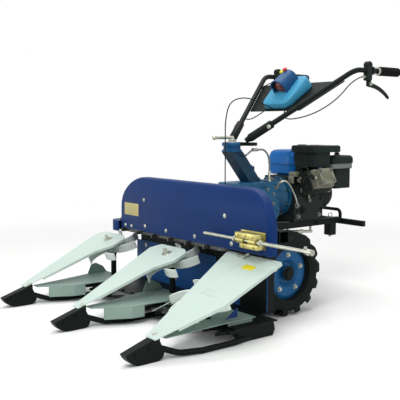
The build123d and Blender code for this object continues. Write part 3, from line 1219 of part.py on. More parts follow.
for divider_name, divider_x, cover_outline, tray_outline, tray_feet, star_from, star_turn in DIVIDERS:
    with BuildPart() as divider_cover:
        with BuildSketch(slope_plane(divider_x, PIVOT_Y)) as cover_face:
            with BuildLine():
                Polyline(*cover_outline, close=True)
            make_face()
            fillet(vertices().group_by(Axis.Y)[1:], COVER_ROUND)
        extrude(amount=SHEET_T)
        with BuildSketch(slope_plane(divider_x, PIVOT_Y)):
            add(cover_face.sketch_local)
            offset(amount=-SHEET_T, mode=Mode.SUBTRACT)
            with Locations((0, FOLD_FROM - BIG / 2)):
                Rectangle(BIG, BIG, mode=Mode.SUBTRACT)
        extrude(amount=-FOLD_H)
    write(f"divider_cover_{divider_name}", divider_cover.part)

    # Star wheel: a hub with curved paddles, on a pin square to the cover
    star_x, star_y = divider_x + star_from[0], PIVOT_Y + star_from[1]
    with BuildPart() as star:
        with BuildSketch(slope_plane(star_x, star_y, STAR_DROP + STAR_HALF_H)):
            Circle(STAR_HUB_R)
            with PolarLocations(0, STAR_FINGERS, start_angle=star_turn):
                add(star_finger.sketch)
            Circle(STAR_PIN_R + SHAFT_GAP, mode=Mode.SUBTRACT)
        extrude(amount=2 * STAR_HALF_H)
    write(f"star_{divider_name}", star.part)

    # Tray under the star wheel: feet on the deck, and on a narrow one an ear and a skirt
    with BuildPart() as tray:
        with BuildSketch(level(TRAY_Z, divider_x, WALL_Y)):
            with BuildLine():
                Polyline(*tray_outline, close=True)
            make_face()
        extrude(amount=SHEET_T)
        for foot_x in tray_feet:
            with BuildSketch(level(DECK_Z[1], divider_x + foot_x, middle(DECK_Y[0], TRAY_REAR_Y))):
                Rectangle(SHEET_T, TRAY_REAR_Y - DECK_Y[0] - TRAY_FOOT_GAP)
            extrude(amount=TRAY_Z - DECK_Z[1])
        if tray_outline is NARROW_TRAY:
            with BuildSketch(side(divider_x + tray_outline[-2][0])):
                with BuildLine():
                    Polyline(*[(TRAY_REAR_Y + y, TRAY_Z + SHEET_T + z) for y, z in TRAY_EAR], close=True)
                make_face()
            extrude(amount=SHEET_T)
            with BuildSketch(level(TRAY_SKIRT_Z, divider_x, WALL_Y)):
                with BuildLine():
                    Polyline(*TRAY_SKIRT, *[(x - SHEET_T, y) for x, y in reversed(TRAY_SKIRT)], close=True)
                make_face()
            extrude(amount=TRAY_Z - TRAY_SKIRT_Z)
    write(f"divider_tray_{divider_name}", tray.part)

    with BuildPart() as post:
        pin_drop = STAR_DROP + STAR_HALF_H + POST_GAP + POST_COLLAR[1]
        pin_plane = slope_plane(star_x, star_y, pin_drop)
        with BuildSketch(pin_plane):
            Circle(STAR_PIN_R)
        extrude(amount=pin_drop)
        with BuildSketch(pin_plane):
            Circle(POST_R + POST_COLLAR[0])
        extrude(amount=POST_COLLAR[1])
        post_foot = pin_plane.origin
        with BuildSketch(Plane(origin=(post_foot.X, post_foot.Y, TRAY_Z + SHEET_T))):
            Circle(POST_R)
        extrude(amount=post_foot.Z - TRAY_Z - SHEET_T + POST_GAP)
    write(f"star_post_{divider_name}", post.part)

    # Tip and runner: a curved shoe, a rod on the ground and a flat shoe under the deck
    with BuildPart() as runner:
        with BuildSketch(side(divider_x - TIP_HALF)):
            with BuildLine():
                nose = (TIP_FRONT_Y, TIP_NOSE_Z)
                belly = [(TIP_FRONT_Y + y, 0) for y in TIP_BELLY]
                heel = [(TIP_FRONT_Y + y, z) for y, z in TIP_HEEL]
                seat = [(TIP_FRONT_Y + y, cover_z(TIP_FRONT_Y + y)) for y in TIP_COVER]
                TangentArc(belly[0], nose, tangent=(-1, 0))
                Line(*belly)
                TangentArc(belly[1], heel[0], tangent=(1, 0))
                Polyline(*heel, seat[1], seat[0], nose)
            make_face()
        extrude(amount=2 * TIP_HALF)
        with BuildLine() as runner_path:
            FilletPolyline(
                *[at(divider_x + share * RUNNER_SHIFT, WALL_Y + y, z) for share, y, z in RUNNER_RUN],
                radius=RUNNER_BEND_R,
            )
        with BuildSketch(Plane(origin=runner_path.line @ 0, z_dir=runner_path.line % 0)):
            Circle(RUNNER_R)
        sweep(path=runner_path.line)
        with BuildSketch(side(divider_x + SHOE_AT * RUNNER_SHIFT - SHOE_HALF)):
            with BuildLine():
                Polyline(*[(WALL_Y + y, z) for y, z in SHOE_PROFILE], close=True)
            make_face()
        extrude(amount=2 * SHOE_HALF)
    write(f"runner_{divider_name}", runner.part)
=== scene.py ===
# %% [markdown]
# # A walk-behind power weeder with a reaper header
# The solids of this machine come from its CAD model: dividers, header, engine, wheels and handlebar.
# Blender gives them their looks. Each step below says what a piece is on the real machine, how it could
# be made, and why it is made this way.

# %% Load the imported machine
import json
from math import atan2, cos, pi, radians, sin, tau

import bmesh
import bpy
from mathutils import Matrix, Vector

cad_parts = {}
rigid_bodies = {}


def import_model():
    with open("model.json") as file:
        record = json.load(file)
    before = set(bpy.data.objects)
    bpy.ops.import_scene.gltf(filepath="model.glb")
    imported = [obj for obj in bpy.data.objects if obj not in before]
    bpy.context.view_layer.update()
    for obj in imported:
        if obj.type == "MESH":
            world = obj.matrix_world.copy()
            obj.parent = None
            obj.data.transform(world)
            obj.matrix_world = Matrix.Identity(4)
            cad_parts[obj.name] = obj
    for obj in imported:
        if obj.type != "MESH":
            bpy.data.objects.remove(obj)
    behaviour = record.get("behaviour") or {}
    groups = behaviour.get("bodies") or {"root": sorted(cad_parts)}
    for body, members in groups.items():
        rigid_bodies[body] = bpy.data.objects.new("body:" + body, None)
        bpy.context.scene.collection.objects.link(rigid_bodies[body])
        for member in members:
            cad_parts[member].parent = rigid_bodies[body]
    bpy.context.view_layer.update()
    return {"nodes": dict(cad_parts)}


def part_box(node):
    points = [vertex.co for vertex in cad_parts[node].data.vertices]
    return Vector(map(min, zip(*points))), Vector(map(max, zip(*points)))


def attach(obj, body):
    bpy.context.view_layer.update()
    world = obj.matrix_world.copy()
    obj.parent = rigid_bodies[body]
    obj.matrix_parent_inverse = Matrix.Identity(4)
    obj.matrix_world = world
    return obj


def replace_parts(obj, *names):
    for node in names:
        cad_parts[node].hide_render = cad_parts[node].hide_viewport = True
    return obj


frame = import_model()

nodes = frame["nodes"]
for spare in [o for o in bpy.data.objects if o.name in ("Cube", "Light", "Camera")]:
    bpy.data.objects.remove(spare)

# %% [markdown]
# ## Measuring from the machine itself
# A mechanic measures from the mid-plane, the axle and the ground. The two half axles are mirror images,
# so the point between them gives all three, and every later place is written in millimetres from there.

# %% A place on the machine
axle_ends = [corner for name in ("axle_left", "axle_right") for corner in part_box(name)]
MIDDLE = sum(axle_ends, Vector()) / len(axle_ends)
AXLE_Z = MIDDLE.z
MIDDLE.z = 0
MM = 0.001


def spot(x, y, z):
    """A place in millimetres from the mid-plane, the axle and the ground, as metres in the frame."""
    return MIDDLE + Vector((x, y, z)) * MM


AXLE_H = AXLE_Z / MM
SIDES = (("left", 1), ("right", -1))
print("axle above the ground:", round(AXLE_H), "mm")

# %% [markdown]
# ## Node helpers
# A material is a small network of nodes. Two helpers keep the cells short: one places a node and wires
# its sockets, the other starts a node group, which is an effect that several materials share.

# %% Helpers for node networks
COLOUR_A, COLOUR_B, COLOUR_OUT = 6, 7, 2     # sockets of a Mix node that mixes colours


def place(tree, kind, feeds=(), **settings):
    """Adds a node, sets its properties, and feeds its sockets with values or other sockets."""
    made = tree.nodes.new(kind)
    for name, value in settings.items():
        setattr(made, name, value)
    for socket, value in feeds:
        if isinstance(value, bpy.types.NodeSocket):
            tree.links.new(value, made.inputs[socket])
        else:
            made.inputs[socket].default_value = value
    return made


def mixed(tree, factor, first, second, mode="MIX"):
    """A colour between two others."""
    feeds = ((0, factor), (COLOUR_A, first), (COLOUR_B, second))
    return place(tree, "ShaderNodeMix", feeds, data_type="RGBA", blend_type=mode).outputs[COLOUR_OUT]


def ranged(tree, value, low, high, to_low, to_high):
    """A value moved from one range into another."""
    feeds = ((0, value), (1, low), (2, high), (3, to_low), (4, to_high))
    return place(tree, "ShaderNodeMapRange", feeds).outputs[0]


def sums(tree, operation, first, second):
    """Two values put together by a Math node."""
    return place(tree, "ShaderNodeMath", ((0, first), (1, second)), operation=operation).outputs[0]


def noise(tree, vector, scale, detail=3.0):
    """Cloudy noise from 0 to 1."""
    feeds = (("Vector", vector), ("Scale", scale), ("Detail", detail))
    return place(tree, "ShaderNodeTexNoise", feeds).outputs[0]


def effect_group(name, inputs, outputs):
    """An empty effect: its tree, its input node and its output node."""
    tree = bpy.data.node_groups.new(name, "ShaderNodeTree")
    for socket, kind, value in inputs:
        tree.interface.new_socket(socket, in_out="INPUT", socket_type=kind).default_value = value
    for socket, kind in outputs:
        tree.interface.new_socket(socket, in_out="OUTPUT", socket_type=kind)
    return tree, tree.nodes.new("NodeGroupInput"), tree.nodes.new("NodeGroupOutput")


FLOAT, TINT = "NodeSocketFloat", "NodeSocketColor"
SKIN_OUT = (("Colour", TINT), ("Roughness", FLOAT), ("Height", FLOAT))
SKIN_IN = (
    ("Colour", TINT, (0.5, 0.5, 0.5, 1)), ("Wear Colour", TINT, (0.5, 0.5, 0.5, 1)), ("Wear", FLOAT, 0.4),
    ("Mottle", FLOAT, 0.12), ("Rough Low", FLOAT, 0.3), ("Rough High", FLOAT, 0.45), ("Grain", FLOAT, 260.0),
)
print("node helpers ready")

# %% [markdown]
# ## Painted skin
# Sprayed paint is never one flat colour: it clouds a little over a panel, carries a fine orange peel,
# and is rubbed lighter along its edges. The edges are found with a Bevel node, because its rounded
# normal departs from the true normal only there. A painted mask would have to be redone for each part.

# %% The painted skin as a node group
EDGE_WIDTH = 0.0035


def edge_mask(tree, width, softness=0.35):
    """1 along the edges of a solid, 0 on its faces."""
    rounded = place(tree, "ShaderNodeBevel", (("Radius", width),), samples=4)
    true = place(tree, "ShaderNodeNewGeometry")
    feeds = ((0, rounded.outputs[0]), (1, true.outputs["Normal"]))
    likeness = place(tree, "ShaderNodeVectorMath", feeds, operation="DOT_PRODUCT").outputs["Value"]
    return ranged(tree, likeness, 1.0 - softness, 0.995, 1.0, 0.0)


def clouded(tree, colour, field, mottle):
    """A colour that lightens and darkens with a noise field."""
    darkest, lightest = sums(tree, "SUBTRACT", 1.0, mottle), sums(tree, "ADD", 1.0, mottle)
    shade = ranged(tree, field, 0.25, 0.75, darkest, lightest)
    return place(tree, "ShaderNodeHueSaturation", (("Value", shade), ("Color", colour))).outputs[0]


def skin_group(name, peel_share):
    """A painted or moulded skin: clouded colour, worn edges, and a fine grain in its height."""
    tree, given, result = effect_group(name, SKIN_IN, SKIN_OUT)
    here = place(tree, "ShaderNodeTexCoord").outputs["Object"]
    cloud = noise(tree, here, 7.0)
    speck = noise(tree, here, given.outputs["Grain"], 2.0)
    scuffs = ranged(tree, noise(tree, here, 38.0, 5.0), 0.42, 0.62, 0.0, 1.0)
    rubbed = sums(tree, "MULTIPLY", edge_mask(tree, EDGE_WIDTH), scuffs)
    rubbed = sums(tree, "MULTIPLY", rubbed, given.outputs["Wear"])
    colour = clouded(tree, given.outputs["Colour"], cloud, given.outputs["Mottle"])
    colour = mixed(tree, rubbed, colour, given.outputs["Wear Colour"])
    blotch = sums(tree, "ADD", sums(tree, "MULTIPLY", cloud, 0.6), sums(tree, "MULTIPLY", speck, 0.4))
    rough = ranged(tree, blotch, 0.3, 0.7, given.outputs["Rough Low"], given.outputs["Rough High"])
    height = sums(tree, "ADD", sums(tree, "MULTIPLY", speck, peel_share), sums(tree, "MULTIPLY", cloud, 0.3))
    for socket, value in (("Colour", colour), ("Roughness", rough), ("Height", height)):
        tree.links.new(value, result.inputs[socket])
    return tree


painted_skin = skin_group("painted_skin", 0.5)
cast_skin = skin_group("cast_skin", 1.6)
print("skin groups:", painted_skin.name, cast_skin.name)

# %% [markdown]
# ## Brushed metal
# Ground steel and plated rods show fine lines along their length. Stretching a noise field far along
# one axis draws those lines, and the same lines break up the roughness, so highlights smear.

# %% Brushed metal as a node group
def brushed_group(name, stretch):
    """Metal with fine lines; stretch is small along the lines and large across them."""
    tree, given, result = effect_group(name, SKIN_IN, SKIN_OUT)
    here = place(tree, "ShaderNodeTexCoord").outputs["Object"]
    drawn = place(tree, "ShaderNodeMapping", (("Vector", here), ("Scale", stretch))).outputs[0]
    lines = noise(tree, drawn, given.outputs["Grain"], 2.0)
    cloud = noise(tree, here, 16.0)
    colour = clouded(tree, given.outputs["Colour"], cloud, given.outputs["Mottle"])
    stain = ranged(tree, noise(tree, here, 45.0, 5.0), 0.55, 0.75, 0.0, 1.0)
    stained = sums(tree, "MULTIPLY", stain, given.outputs["Wear"])
    colour = mixed(tree, stained, colour, given.outputs["Wear Colour"])
    rough = ranged(tree, lines, 0.3, 0.7, given.outputs["Rough Low"], given.outputs["Rough High"])
    for socket, value in (("Colour", colour), ("Roughness", rough), ("Height", lines)):
        tree.links.new(value, result.inputs[socket])
    return tree


brushed_across = brushed_group("brushed_across", (0.04, 1.0, 1.0))
print("brushed group:", brushed_across.name)

# %% [markdown]
# ## Finishes of the machine
# Each finish is one Principled shader fed by a skin group. What stays the same all over a surface, such
# as how metallic it is, sits on the shader itself; only what changes over the surface comes from a group.

# %% A finish from its colour and its skin
BUMP_DEPTH = 0.0006


def linear(red, green, blue):
    """A colour as painters name it, 0 to 255, in the linear scale of the shader."""
    share = [c / 255 for c in (red, green, blue)]
    return [c / 12.92 if c <= 0.04045 else ((c + 0.055) / 1.055) ** 2.4 for c in share] + [1.0]


def finish(name, skin, colour, wear_colour, wear, mottle, rough, grain, bump, metallic, shine, coat=0.0):
    """A material: a Principled shader whose colour, roughness and normal come from a skin."""
    made = bpy.data.materials.new(name)
    made.use_nodes = True
    tree = made.node_tree
    shader = tree.nodes["Principled BSDF"]
    feeds = (
        ("Colour", linear(*colour)), ("Wear Colour", linear(*wear_colour)), ("Wear", wear),
        ("Mottle", mottle), ("Rough Low", rough[0]), ("Rough High", rough[1]), ("Grain", grain),
    )
    effect = place(tree, "ShaderNodeGroup", node_tree=skin)
    for socket, value in feeds:
        effect.inputs[socket].default_value = value
    relief = place(
        tree, "ShaderNodeBump",
        (("Strength", bump), ("Distance", BUMP_DEPTH), ("Height", effect.outputs["Height"])),
    )
    tree.links.new(effect.outputs["Colour"], shader.inputs["Base Color"])
    tree.links.new(effect.outputs["Roughness"], shader.inputs["Roughness"])
    tree.links.new(relief.outputs[0], shader.inputs["Normal"])
    shader.inputs["Metallic"].default_value = metallic
    shader.inputs["Coat Weight"].default_value = coat
    shader.inputs["Coat Roughness"].default_value = 0.15
    shader.inputs["Specular IOR Level"].default_value = shine
    return made


print("finish maker ready")

# %% All finishes in one table
SKINS = {"paint": painted_skin, "cast": cast_skin, "brush": brushed_across}
# name: skin, colour, worn colour, wear, mottle, roughness range, grain, bump, metallic, shine, any coat
FINISH_TABLE = {
    "navy_paint": ("paint", (6, 44, 98), (120, 140, 190), 0.6, 0.1, (0.36, 0.5), 420, 0.1, 0, 0.12),
    # The wall's paint below is the cover's navy made brighter: painted light that lifts a wall lying in
    # shade.
    "wall_navy_painted_light": ("paint", (26, 76, 134), (120, 140, 190), 0.6, 0.12, (0.38, 0.52), 420, 0.1, 0, 0.12),
    "tank_paint": ("paint", (4, 104, 182), (90, 145, 205), 0.4, 0.08, (0.28, 0.4), 420, 0.08, 0, 0.2),
    "console_plastic": ("paint", (58, 140, 176), (150, 205, 235), 0.4, 0.05, (0.38, 0.5), 900, 0.12, 0, 0.2),
    "hood_plastic": ("paint", (10, 68, 114), (110, 165, 215), 0.4, 0.05, (0.38, 0.5), 900, 0.12, 0, 0.2),
    "rim_paint": ("paint", (18, 80, 126), (90, 150, 190), 0.5, 0.16, (0.36, 0.52), 420, 0.12, 0, 0.2),
    "case_paint": ("cast", (14, 82, 118), (110, 160, 190), 0.7, 0.25, (0.36, 0.54), 300, 0.45, 0, 0.3),
    "column_paint": ("paint", (20, 56, 78), (80, 106, 138), 0.5, 0.14, (0.38, 0.52), 420, 0.12, 0, 0.2),
    # The collar's paint below is the column's paint made brighter: painted light on the lit collar, whose
    # column lies in shade.
    "collar_paint_painted_light": ("paint", (12, 74, 120), (110, 155, 205), 0.5, 0.12, (0.34, 0.48), 420, 0.12, 0, 0.2),
    "divider_paint": ("paint", (192, 209, 201), (160, 170, 164), 0.5, 0.03, (0.44, 0.58), 420, 0.1, 0, 0.2),
    "tray_paint": ("paint", (136, 158, 149), (84, 96, 90), 0.7, 0.14, (0.46, 0.6), 420, 0.16, 0, 0.2),
    "star_plastic": ("paint", (222, 232, 226), (160, 168, 162), 0.4, 0.05, (0.44, 0.56), 900, 0.1, 0, 0.2),
    "black_enamel": ("paint", (14, 21, 18), (58, 66, 63), 0.5, 0.2, (0.42, 0.58), 420, 0.2, 0, 0.1),
    "black_plastic": ("cast", (27, 35, 32), (44, 49, 47), 0.4, 0.15, (0.48, 0.64), 800, 0.3, 0, 0.1),
    "heat_black": ("cast", (27, 36, 34), (50, 53, 51), 0.5, 0.2, (0.54, 0.72), 500, 0.35, 0, 0.1),
    "grip_rubber": ("cast", (11, 14, 13), (34, 38, 36), 0.3, 0.2, (0.62, 0.82), 700, 0.45, 0, 0.1),
    "tyre_rubber": ("cast", (20, 26, 24), (52, 54, 50), 0.5, 0.22, (0.66, 0.86), 420, 0.55, 0, 0.12),
    "bright_zinc": ("brush", (178, 180, 168), (120, 118, 104), 0.6, 0.12, (0.28, 0.46), 900, 0.2, 1, 0.5),
    "dull_zinc": ("brush", (118, 122, 118), (70, 70, 64), 0.6, 0.16, (0.34, 0.52), 900, 0.2, 1, 0.5),
    "yellow_zinc": ("brush", (190, 180, 116), (150, 126, 74), 0.6, 0.14, (0.32, 0.5), 700, 0.2, 1, 0.5),
    "ground_steel": ("brush", (92, 94, 92), (60, 54, 46), 0.6, 0.16, (0.36, 0.58), 700, 0.25, 1, 0.5),
    "engine_casting": ("cast", (30, 38, 36), (110, 115, 110), 0.8, 0.3, (0.44, 0.64), 320, 0.6, 0.1, 0.15),
    "bare_alloy": ("cast", (128, 128, 113), (170, 170, 156), 0.5, 0.24, (0.4, 0.6), 320, 0.6, 0.6, 0.4),
    "lamp_red": ("paint", (104, 44, 34), (150, 90, 76), 0.2, 0.25, (0.14, 0.24), 300, 0.05, 0, 0.4, 0.3),
    "plate_cream": ("paint", (186, 174, 120), (146, 134, 90), 0.6, 0.1, (0.36, 0.52), 420, 0.1, 0.1, 0.3),
    "band_grey": ("paint", (104, 114, 114), (150, 156, 154), 0.5, 0.12, (0.44, 0.58), 800, 0.15, 0, 0.25),
    "marker_yellow": ("paint", (222, 208, 40), (184, 166, 60), 0.4, 0.06, (0.34, 0.46), 500, 0.06, 0, 0.3),
    "knob_red": ("paint", (186, 42, 28), (210, 104, 84), 0.3, 0.06, (0.3, 0.42), 500, 0.06, 0, 0.4),
}
finishes = {name: finish(name, SKINS[row[0]], *row[1:]) for name, row in FINISH_TABLE.items()}
print(len(finishes), "finishes made")

# %% [markdown]
# ## Dressing the solids
# Most CAD solids have the right shapes already and only take a finish; later steps stand their own pieces
# in for the others. A short table from the start of a solid's name to its finish does this for all of
# them; the longest match wins, so that `star_post` isn't taken for a `star`.

# %% Finish of each solid
DRESS = {
    "tyre": "tyre_rubber", "rim": "rim_paint", "axle": "ground_steel", "gearbox": "case_paint",
    "clutch_housing": "case_paint", "handle_column": "column_paint", "handle_head": "black_enamel",
    "handle_tube": "black_enamel", "grips": "grip_rubber", "levers": "black_plastic",
    "console_tray": "black_enamel", "console": "console_plastic", "headlamp": "lamp_red",
    "swivel_lever": "bright_zinc", "crankcase": "engine_casting", "cylinder_head": "bare_alloy",
    "fan_shroud": "black_plastic", "fuel_tank": "tank_paint", "fuel_cap": "black_plastic",
    "muffler": "heat_black", "air_cleaner": "black_plastic", "engine_bed": "black_enamel",
    "link_rod": "bright_zinc", "handle_cables": "black_plastic", "column_cables": "black_plastic",
    "rear_bumper": "black_enamel", "header_frame": "black_enamel", "header_cover": "navy_paint",
    "lower_wall": "wall_navy_painted_light", "deck": "black_enamel", "cutter_bar": "black_enamel", "knife": "ground_steel",
    "chain": "ground_steel", "sprockets": "ground_steel", "end_guard": "navy_paint",
    "guide_rod": "bright_zinc",
    "rod_clamp": "yellow_zinc", "divider_cover": "divider_paint", "star": "star_plastic",
    "divider_tray": "tray_paint", "star_post": "black_enamel", "runner": "black_enamel",
}
for name, solid in nodes.items():
    start = max((key for key in DRESS if name.startswith(key)), key=len)
    solid.data.materials.clear()
    solid.data.materials.append(finishes[DRESS[start]])
print("dressed", len(nodes), "solids")

# %% [markdown]
# ## Tools for the small hardware
# Bolts, washers, knobs and trim are what the CAD solids leave out. Few shapes cover them all: a peg, a
# bolt, a block, a turned profile, a flat plate, a moulded shell and a bent pipe. All but the pipe, which is
# a curve, are drawn into an open mesh, so that a whole row of bolts becomes one piece, and `piece` then
# gives it a finish and a body to ride.

# %% A piece with its finish and its body
MACHINE = Matrix.Translation(MIDDLE)
SHARP = radians(34)
UP, LEFT, RIGHT, FRONT, REAR = (0, 0, 1), (1, 0, 0), (-1, 0, 0), (0, -1, 0), (0, 1, 0)


def hang(made, finish_name, body):
    """Links an object, gives it its finish, and makes it move with a body."""
    made.data.materials.append(finishes[finish_name])
    bpy.context.scene.collection.objects.link(made)
    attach(made, body)
    return made


def piece(name, mesh, finish_name, body):
    """Closes an open mesh into a piece with smooth faces and sharp corners."""
    bmesh.ops.remove_doubles(mesh, verts=mesh.verts, dist=1e-6)
    bmesh.ops.recalc_face_normals(mesh, faces=mesh.faces)
    for face in mesh.faces:
        face.smooth = True
    for edge in mesh.edges:
        edge.smooth = edge.calc_face_angle(0.0) < SHARP
    data = bpy.data.meshes.new(name)
    mesh.to_mesh(data)
    mesh.free()
    return hang(bpy.data.objects.new(name, data), finish_name, body)


def stand(at, direction):
    """A matrix that stands a shape, made along +Z, on a place and points it in a direction."""
    return Matrix.Translation(at) @ Vector(direction).to_track_quat("Z", "Y").to_matrix().to_4x4()


def axes(x, y, z):
    """A turn that lays a shape's own axes along three directions."""
    return Matrix((Vector(x), Vector(y), Vector(z))).transposed().to_4x4()


SIDE_TURN = axes(REAR, UP, LEFT)
FRONT_TURN = axes(LEFT, UP, FRONT)
print("piece maker ready")

# %% Pegs, bolts and blocks
def round_over(mesh, edges, width, segments=2):
    """Rounds edges by a width in millimetres."""
    bmesh.ops.bevel(
        mesh, geom=list(edges), offset=width * MM, segments=segments, profile=0.5, affect="EDGES",
        material=-1,
    )


def peg(mesh, at, direction, radius, length, sides=24, tip=None, crown=0.0):
    """A peg that stands on a place, with a rounded crown; many-sided, and tapered where a tip is given."""
    base = stand(at, direction) @ Matrix.Translation((0, 0, length * MM / 2))
    made = bmesh.ops.create_cone(
        mesh, cap_ends=True, segments=sides, radius1=radius * MM,
        radius2=(radius if tip is None else tip) * MM, depth=length * MM, matrix=base,
    )
    if crown:
        faces = {face for vert in made["verts"] for face in vert.link_faces}
        top = max(faces, key=lambda face: face.calc_center_median().dot(Vector(direction)))
        round_over(mesh, top.edges, crown)


def bolt(mesh, at, direction, across):
    """A washer with a hexagon head on it, named by its width across flats."""
    way = Vector(direction).normalized()
    washer = 0.14 * across
    peg(mesh, at, way, 0.8 * across, washer, crown=0.3 * washer)
    peg(mesh, at + way * washer * MM, way, across / 2 / cos(pi / 6), 0.55 * across, 6, crown=0.12 * across)


def bolts(name, body, across, direction, places, finish_name="dull_zinc"):
    """A set of like bolts as one piece."""
    mesh = bmesh.new()
    for point in places:
        bolt(mesh, spot(*point), direction, across)
    return piece(name, mesh, finish_name, body)


def block(mesh, low, high, edge, base=MACHINE, corner=0.0):
    """A block between two corners in millimetres, with rounded edges and, where given, rounder uprights."""
    low, high = Vector(low) * MM, Vector(high) * MM
    size = Matrix.Diagonal((*(high - low), 1))
    made = bmesh.ops.create_cube(mesh, size=1.0, matrix=base @ Matrix.Translation((low + high) / 2) @ size)
    edges = {line for vert in made["verts"] for line in vert.link_edges}
    if corner:
        axis = base.to_3x3() @ Vector(UP)
        uprights = [e for e in edges if abs((e.verts[0].co - e.verts[1].co).normalized().dot(axis)) > 0.99]
        round_over(mesh, uprights, corner, 6)
    else:
        round_over(mesh, edges, edge)


print("pegs, bolts and blocks ready")

# %% Turned shapes, plates and pipes
def turned(mesh, at, direction, profile, steps=32, angle=tau, start=None):
    """Spins a profile of (radius, height) in millimetres round a direction."""
    base = stand(at, direction) if start is None else start
    line = [mesh.verts.new(base @ (Vector((radius, 0, height)) * MM)) for radius, height in profile]
    edges = [mesh.edges.new(pair) for pair in zip(line, line[1:])]
    bmesh.ops.spin(
        mesh, geom=line + edges, cent=base.translation, axis=base.to_3x3() @ Vector(UP), angle=angle,
        steps=steps, use_merge=angle == tau,
    )


def plate(mesh, outline, thickness, base):
    """A flat outline in millimetres, thickened along its normal."""
    face = mesh.faces.new([mesh.verts.new(base @ (Vector((x, y, 0)) * MM)) for x, y in outline])
    grown = bmesh.ops.extrude_face_region(mesh, geom=[face])["geom"]
    moved = [vert for vert in grown if isinstance(vert, bmesh.types.BMVert)]
    bmesh.ops.translate(mesh, verts=moved, vec=base.to_3x3() @ Vector((0, 0, thickness * MM)))


def rounded_box(low_x, high_x, low_y, high_y, corner, steps=8):
    """The outline of a rectangle with round corners, as points in millimetres."""
    mids = ((high_x, high_y, 0), (low_x, high_y, 1), (low_x, low_y, 2), (high_x, low_y, 3))
    points = []
    for x, y, quarter in mids:
        mid_x, mid_y = x - corner * (1 if x == high_x else -1), y - corner * (1 if y == high_y else -1)
        for i in range(steps + 1):
            turn = (quarter + i / steps) * pi / 2
            points.append((mid_x + corner * cos(turn), mid_y + corner * sin(turn)))
    return points


def skin_over(mesh, rings):
    """Joins rings of vertices into a shell with both ends closed."""
    loops = [[mesh.edges.new((ring[i - 1], ring[i])) for i in range(len(ring))] for ring in rings]
    for lower, upper in zip(loops, loops[1:]):
        bmesh.ops.bridge_loops(mesh, edges=lower + upper)
    for loop in (loops[0], loops[-1]):
        bmesh.ops.edgeloop_fill(mesh, edges=loop)


def moulded(mesh, sides, corner, levels, base=MACHINE):
    """A moulded shell: rounded outlines stacked at (height, inset) and skinned, with both ends closed."""
    low_x, high_x, low_y, high_y = sides
    rings = []
    for height, inset in levels:
        box = (low_x + inset, high_x - inset, low_y + inset, high_y - inset)
        outline = rounded_box(*box, max(corner - inset, 2))
        rings.append([mesh.verts.new(base @ (Vector((x, y, height)) * MM)) for x, y in outline])
    skin_over(mesh, rings)


def pipe(name, body, radius, route, finish_name):
    """A bent pipe or lead: a smooth curve led by its points, with a round section."""
    data = bpy.data.curves.new(name, "CURVE")
    data.dimensions = "3D"
    data.bevel_depth = radius * MM
    data.bevel_resolution = 4
    data.use_fill_caps = True
    line = data.splines.new("NURBS")
    line.points.add(len(route) - 1)
    for point, where in zip(line.points, route):
        point.co = (*spot(*where), 1)
    line.order_u = 3
    line.use_endpoint_u = True
    return hang(bpy.data.objects.new(name, data), finish_name, body)


def circle_of(count, radius, turn=0.0):
    """Points evenly round a circle."""
    turns = [turn + tau * i / count for i in range(count)]
    return [(radius * cos(a), radius * sin(a)) for a in turns]


print("turned shapes, plates and pipes ready")

# %% [markdown]
# ## Wheels
# The tyre's CAD solid has the right size, but a farm tyre is known by its swollen side wall and its thick,
# slanted lugs. So the carcass is turned from a profile, and each lug is skinned over four sections that
# trail round the tread. Wheel bolts, a hub cap and a valve finish the disc, and all ride on the wheel.

# %% Tyres
TYRE_MID_X, TYRE_R, LUGS = 306, 179.4, 14
CARCASS = (
    (126, -44), (116, -46), (114, -44), (114, -41), (114, 41), (114, 44), (116, 46), (126, 48), (140, 49.5),
    (152, 48), (158, 42), (161, 24), (162, 0), (161, -24), (158, -42), (152, -48), (140, -49.5), (126, -48),
    (126, -44),
)
# across the tread, radius of the foot, half width of the foot and of the top, how far it trails
LUG_SECTIONS = (
    (49.6, 140, 17, 12, 0.0), (40, 152, 21, 16, 0.05), (22, 156, 20, 15, 0.15), (2, 157, 17, 12, 0.26),
)


def lug(mesh, hub, sign, turn):
    """One lug of a tyre, from its shoulder to its middle."""
    sections = []
    for x, foot, foot_half, top_half, trail in LUG_SECTIONS:
        top = TYRE_R - (14 if x > 45 else 0)
        corners = ((foot, -foot_half), (foot, foot_half), (top, top_half), (top, -top_half))
        ring = []
        for radius, half in corners:
            angle = turn + trail + half / radius
            point = Vector((sign * x, radius * cos(angle), radius * sin(angle))) * MM
            ring.append(mesh.verts.new(hub + point))
        sections.append(ring)
    skin_over(mesh, sections)
    round_over(mesh, {line for ring in sections for vert in ring for line in vert.link_edges}, 2.2, 1)


for name, sign in SIDES:
    hub = spot(sign * TYRE_MID_X, 0, AXLE_H)
    tyre = bmesh.new()
    turned(tyre, hub, (sign, 0, 0), CARCASS, 96)
    for radius in (124, 146):
        profile = ((radius, 46), (radius + 0.8, 50), (radius + 2.4, 50), (radius + 3.2, 46))
        turned(tyre, hub, (sign, 0, 0), profile, 72)
    for i in range(LUGS):
        lug(tyre, hub, 1, tau * i / LUGS)
        lug(tyre, hub, -1, tau * (i + 0.5) / LUGS)
    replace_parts(piece(f"farm_tyre_{name}", tyre, "tyre_rubber", f"wheel_{name}"), f"tyre_{name}")
print("tyres made with", 2 * LUGS, "lugs each")

# %% Wheel bolts and hub caps
DISC_FACE_X, HUB_X = 330, 336
for name, sign in SIDES:
    body, out = f"wheel_{name}", (sign, 0, 0)
    ring = [(sign * DISC_FACE_X, y, AXLE_H + z) for y, z in circle_of(5, 78, 0.3)]
    bolts(f"wheel_bolts_{name}", body, 13, out, ring, "bright_zinc")
    cap = bmesh.new()
    profile = ((0, 12), (19, 12), (21, 10.5), (22, 4), (28, 3), (31, 1), (31, -2))
    turned(cap, spot(sign * HUB_X, 0, AXLE_H), out, profile)
    peg(cap, spot(sign * (TYRE_MID_X + 12), 0, AXLE_H + 104), (sign, 0, 0.2), 4, 24, tip=3, crown=0.8)
    piece(f"hub_cap_{name}", cap, "black_enamel", body)
print("wheels dressed")
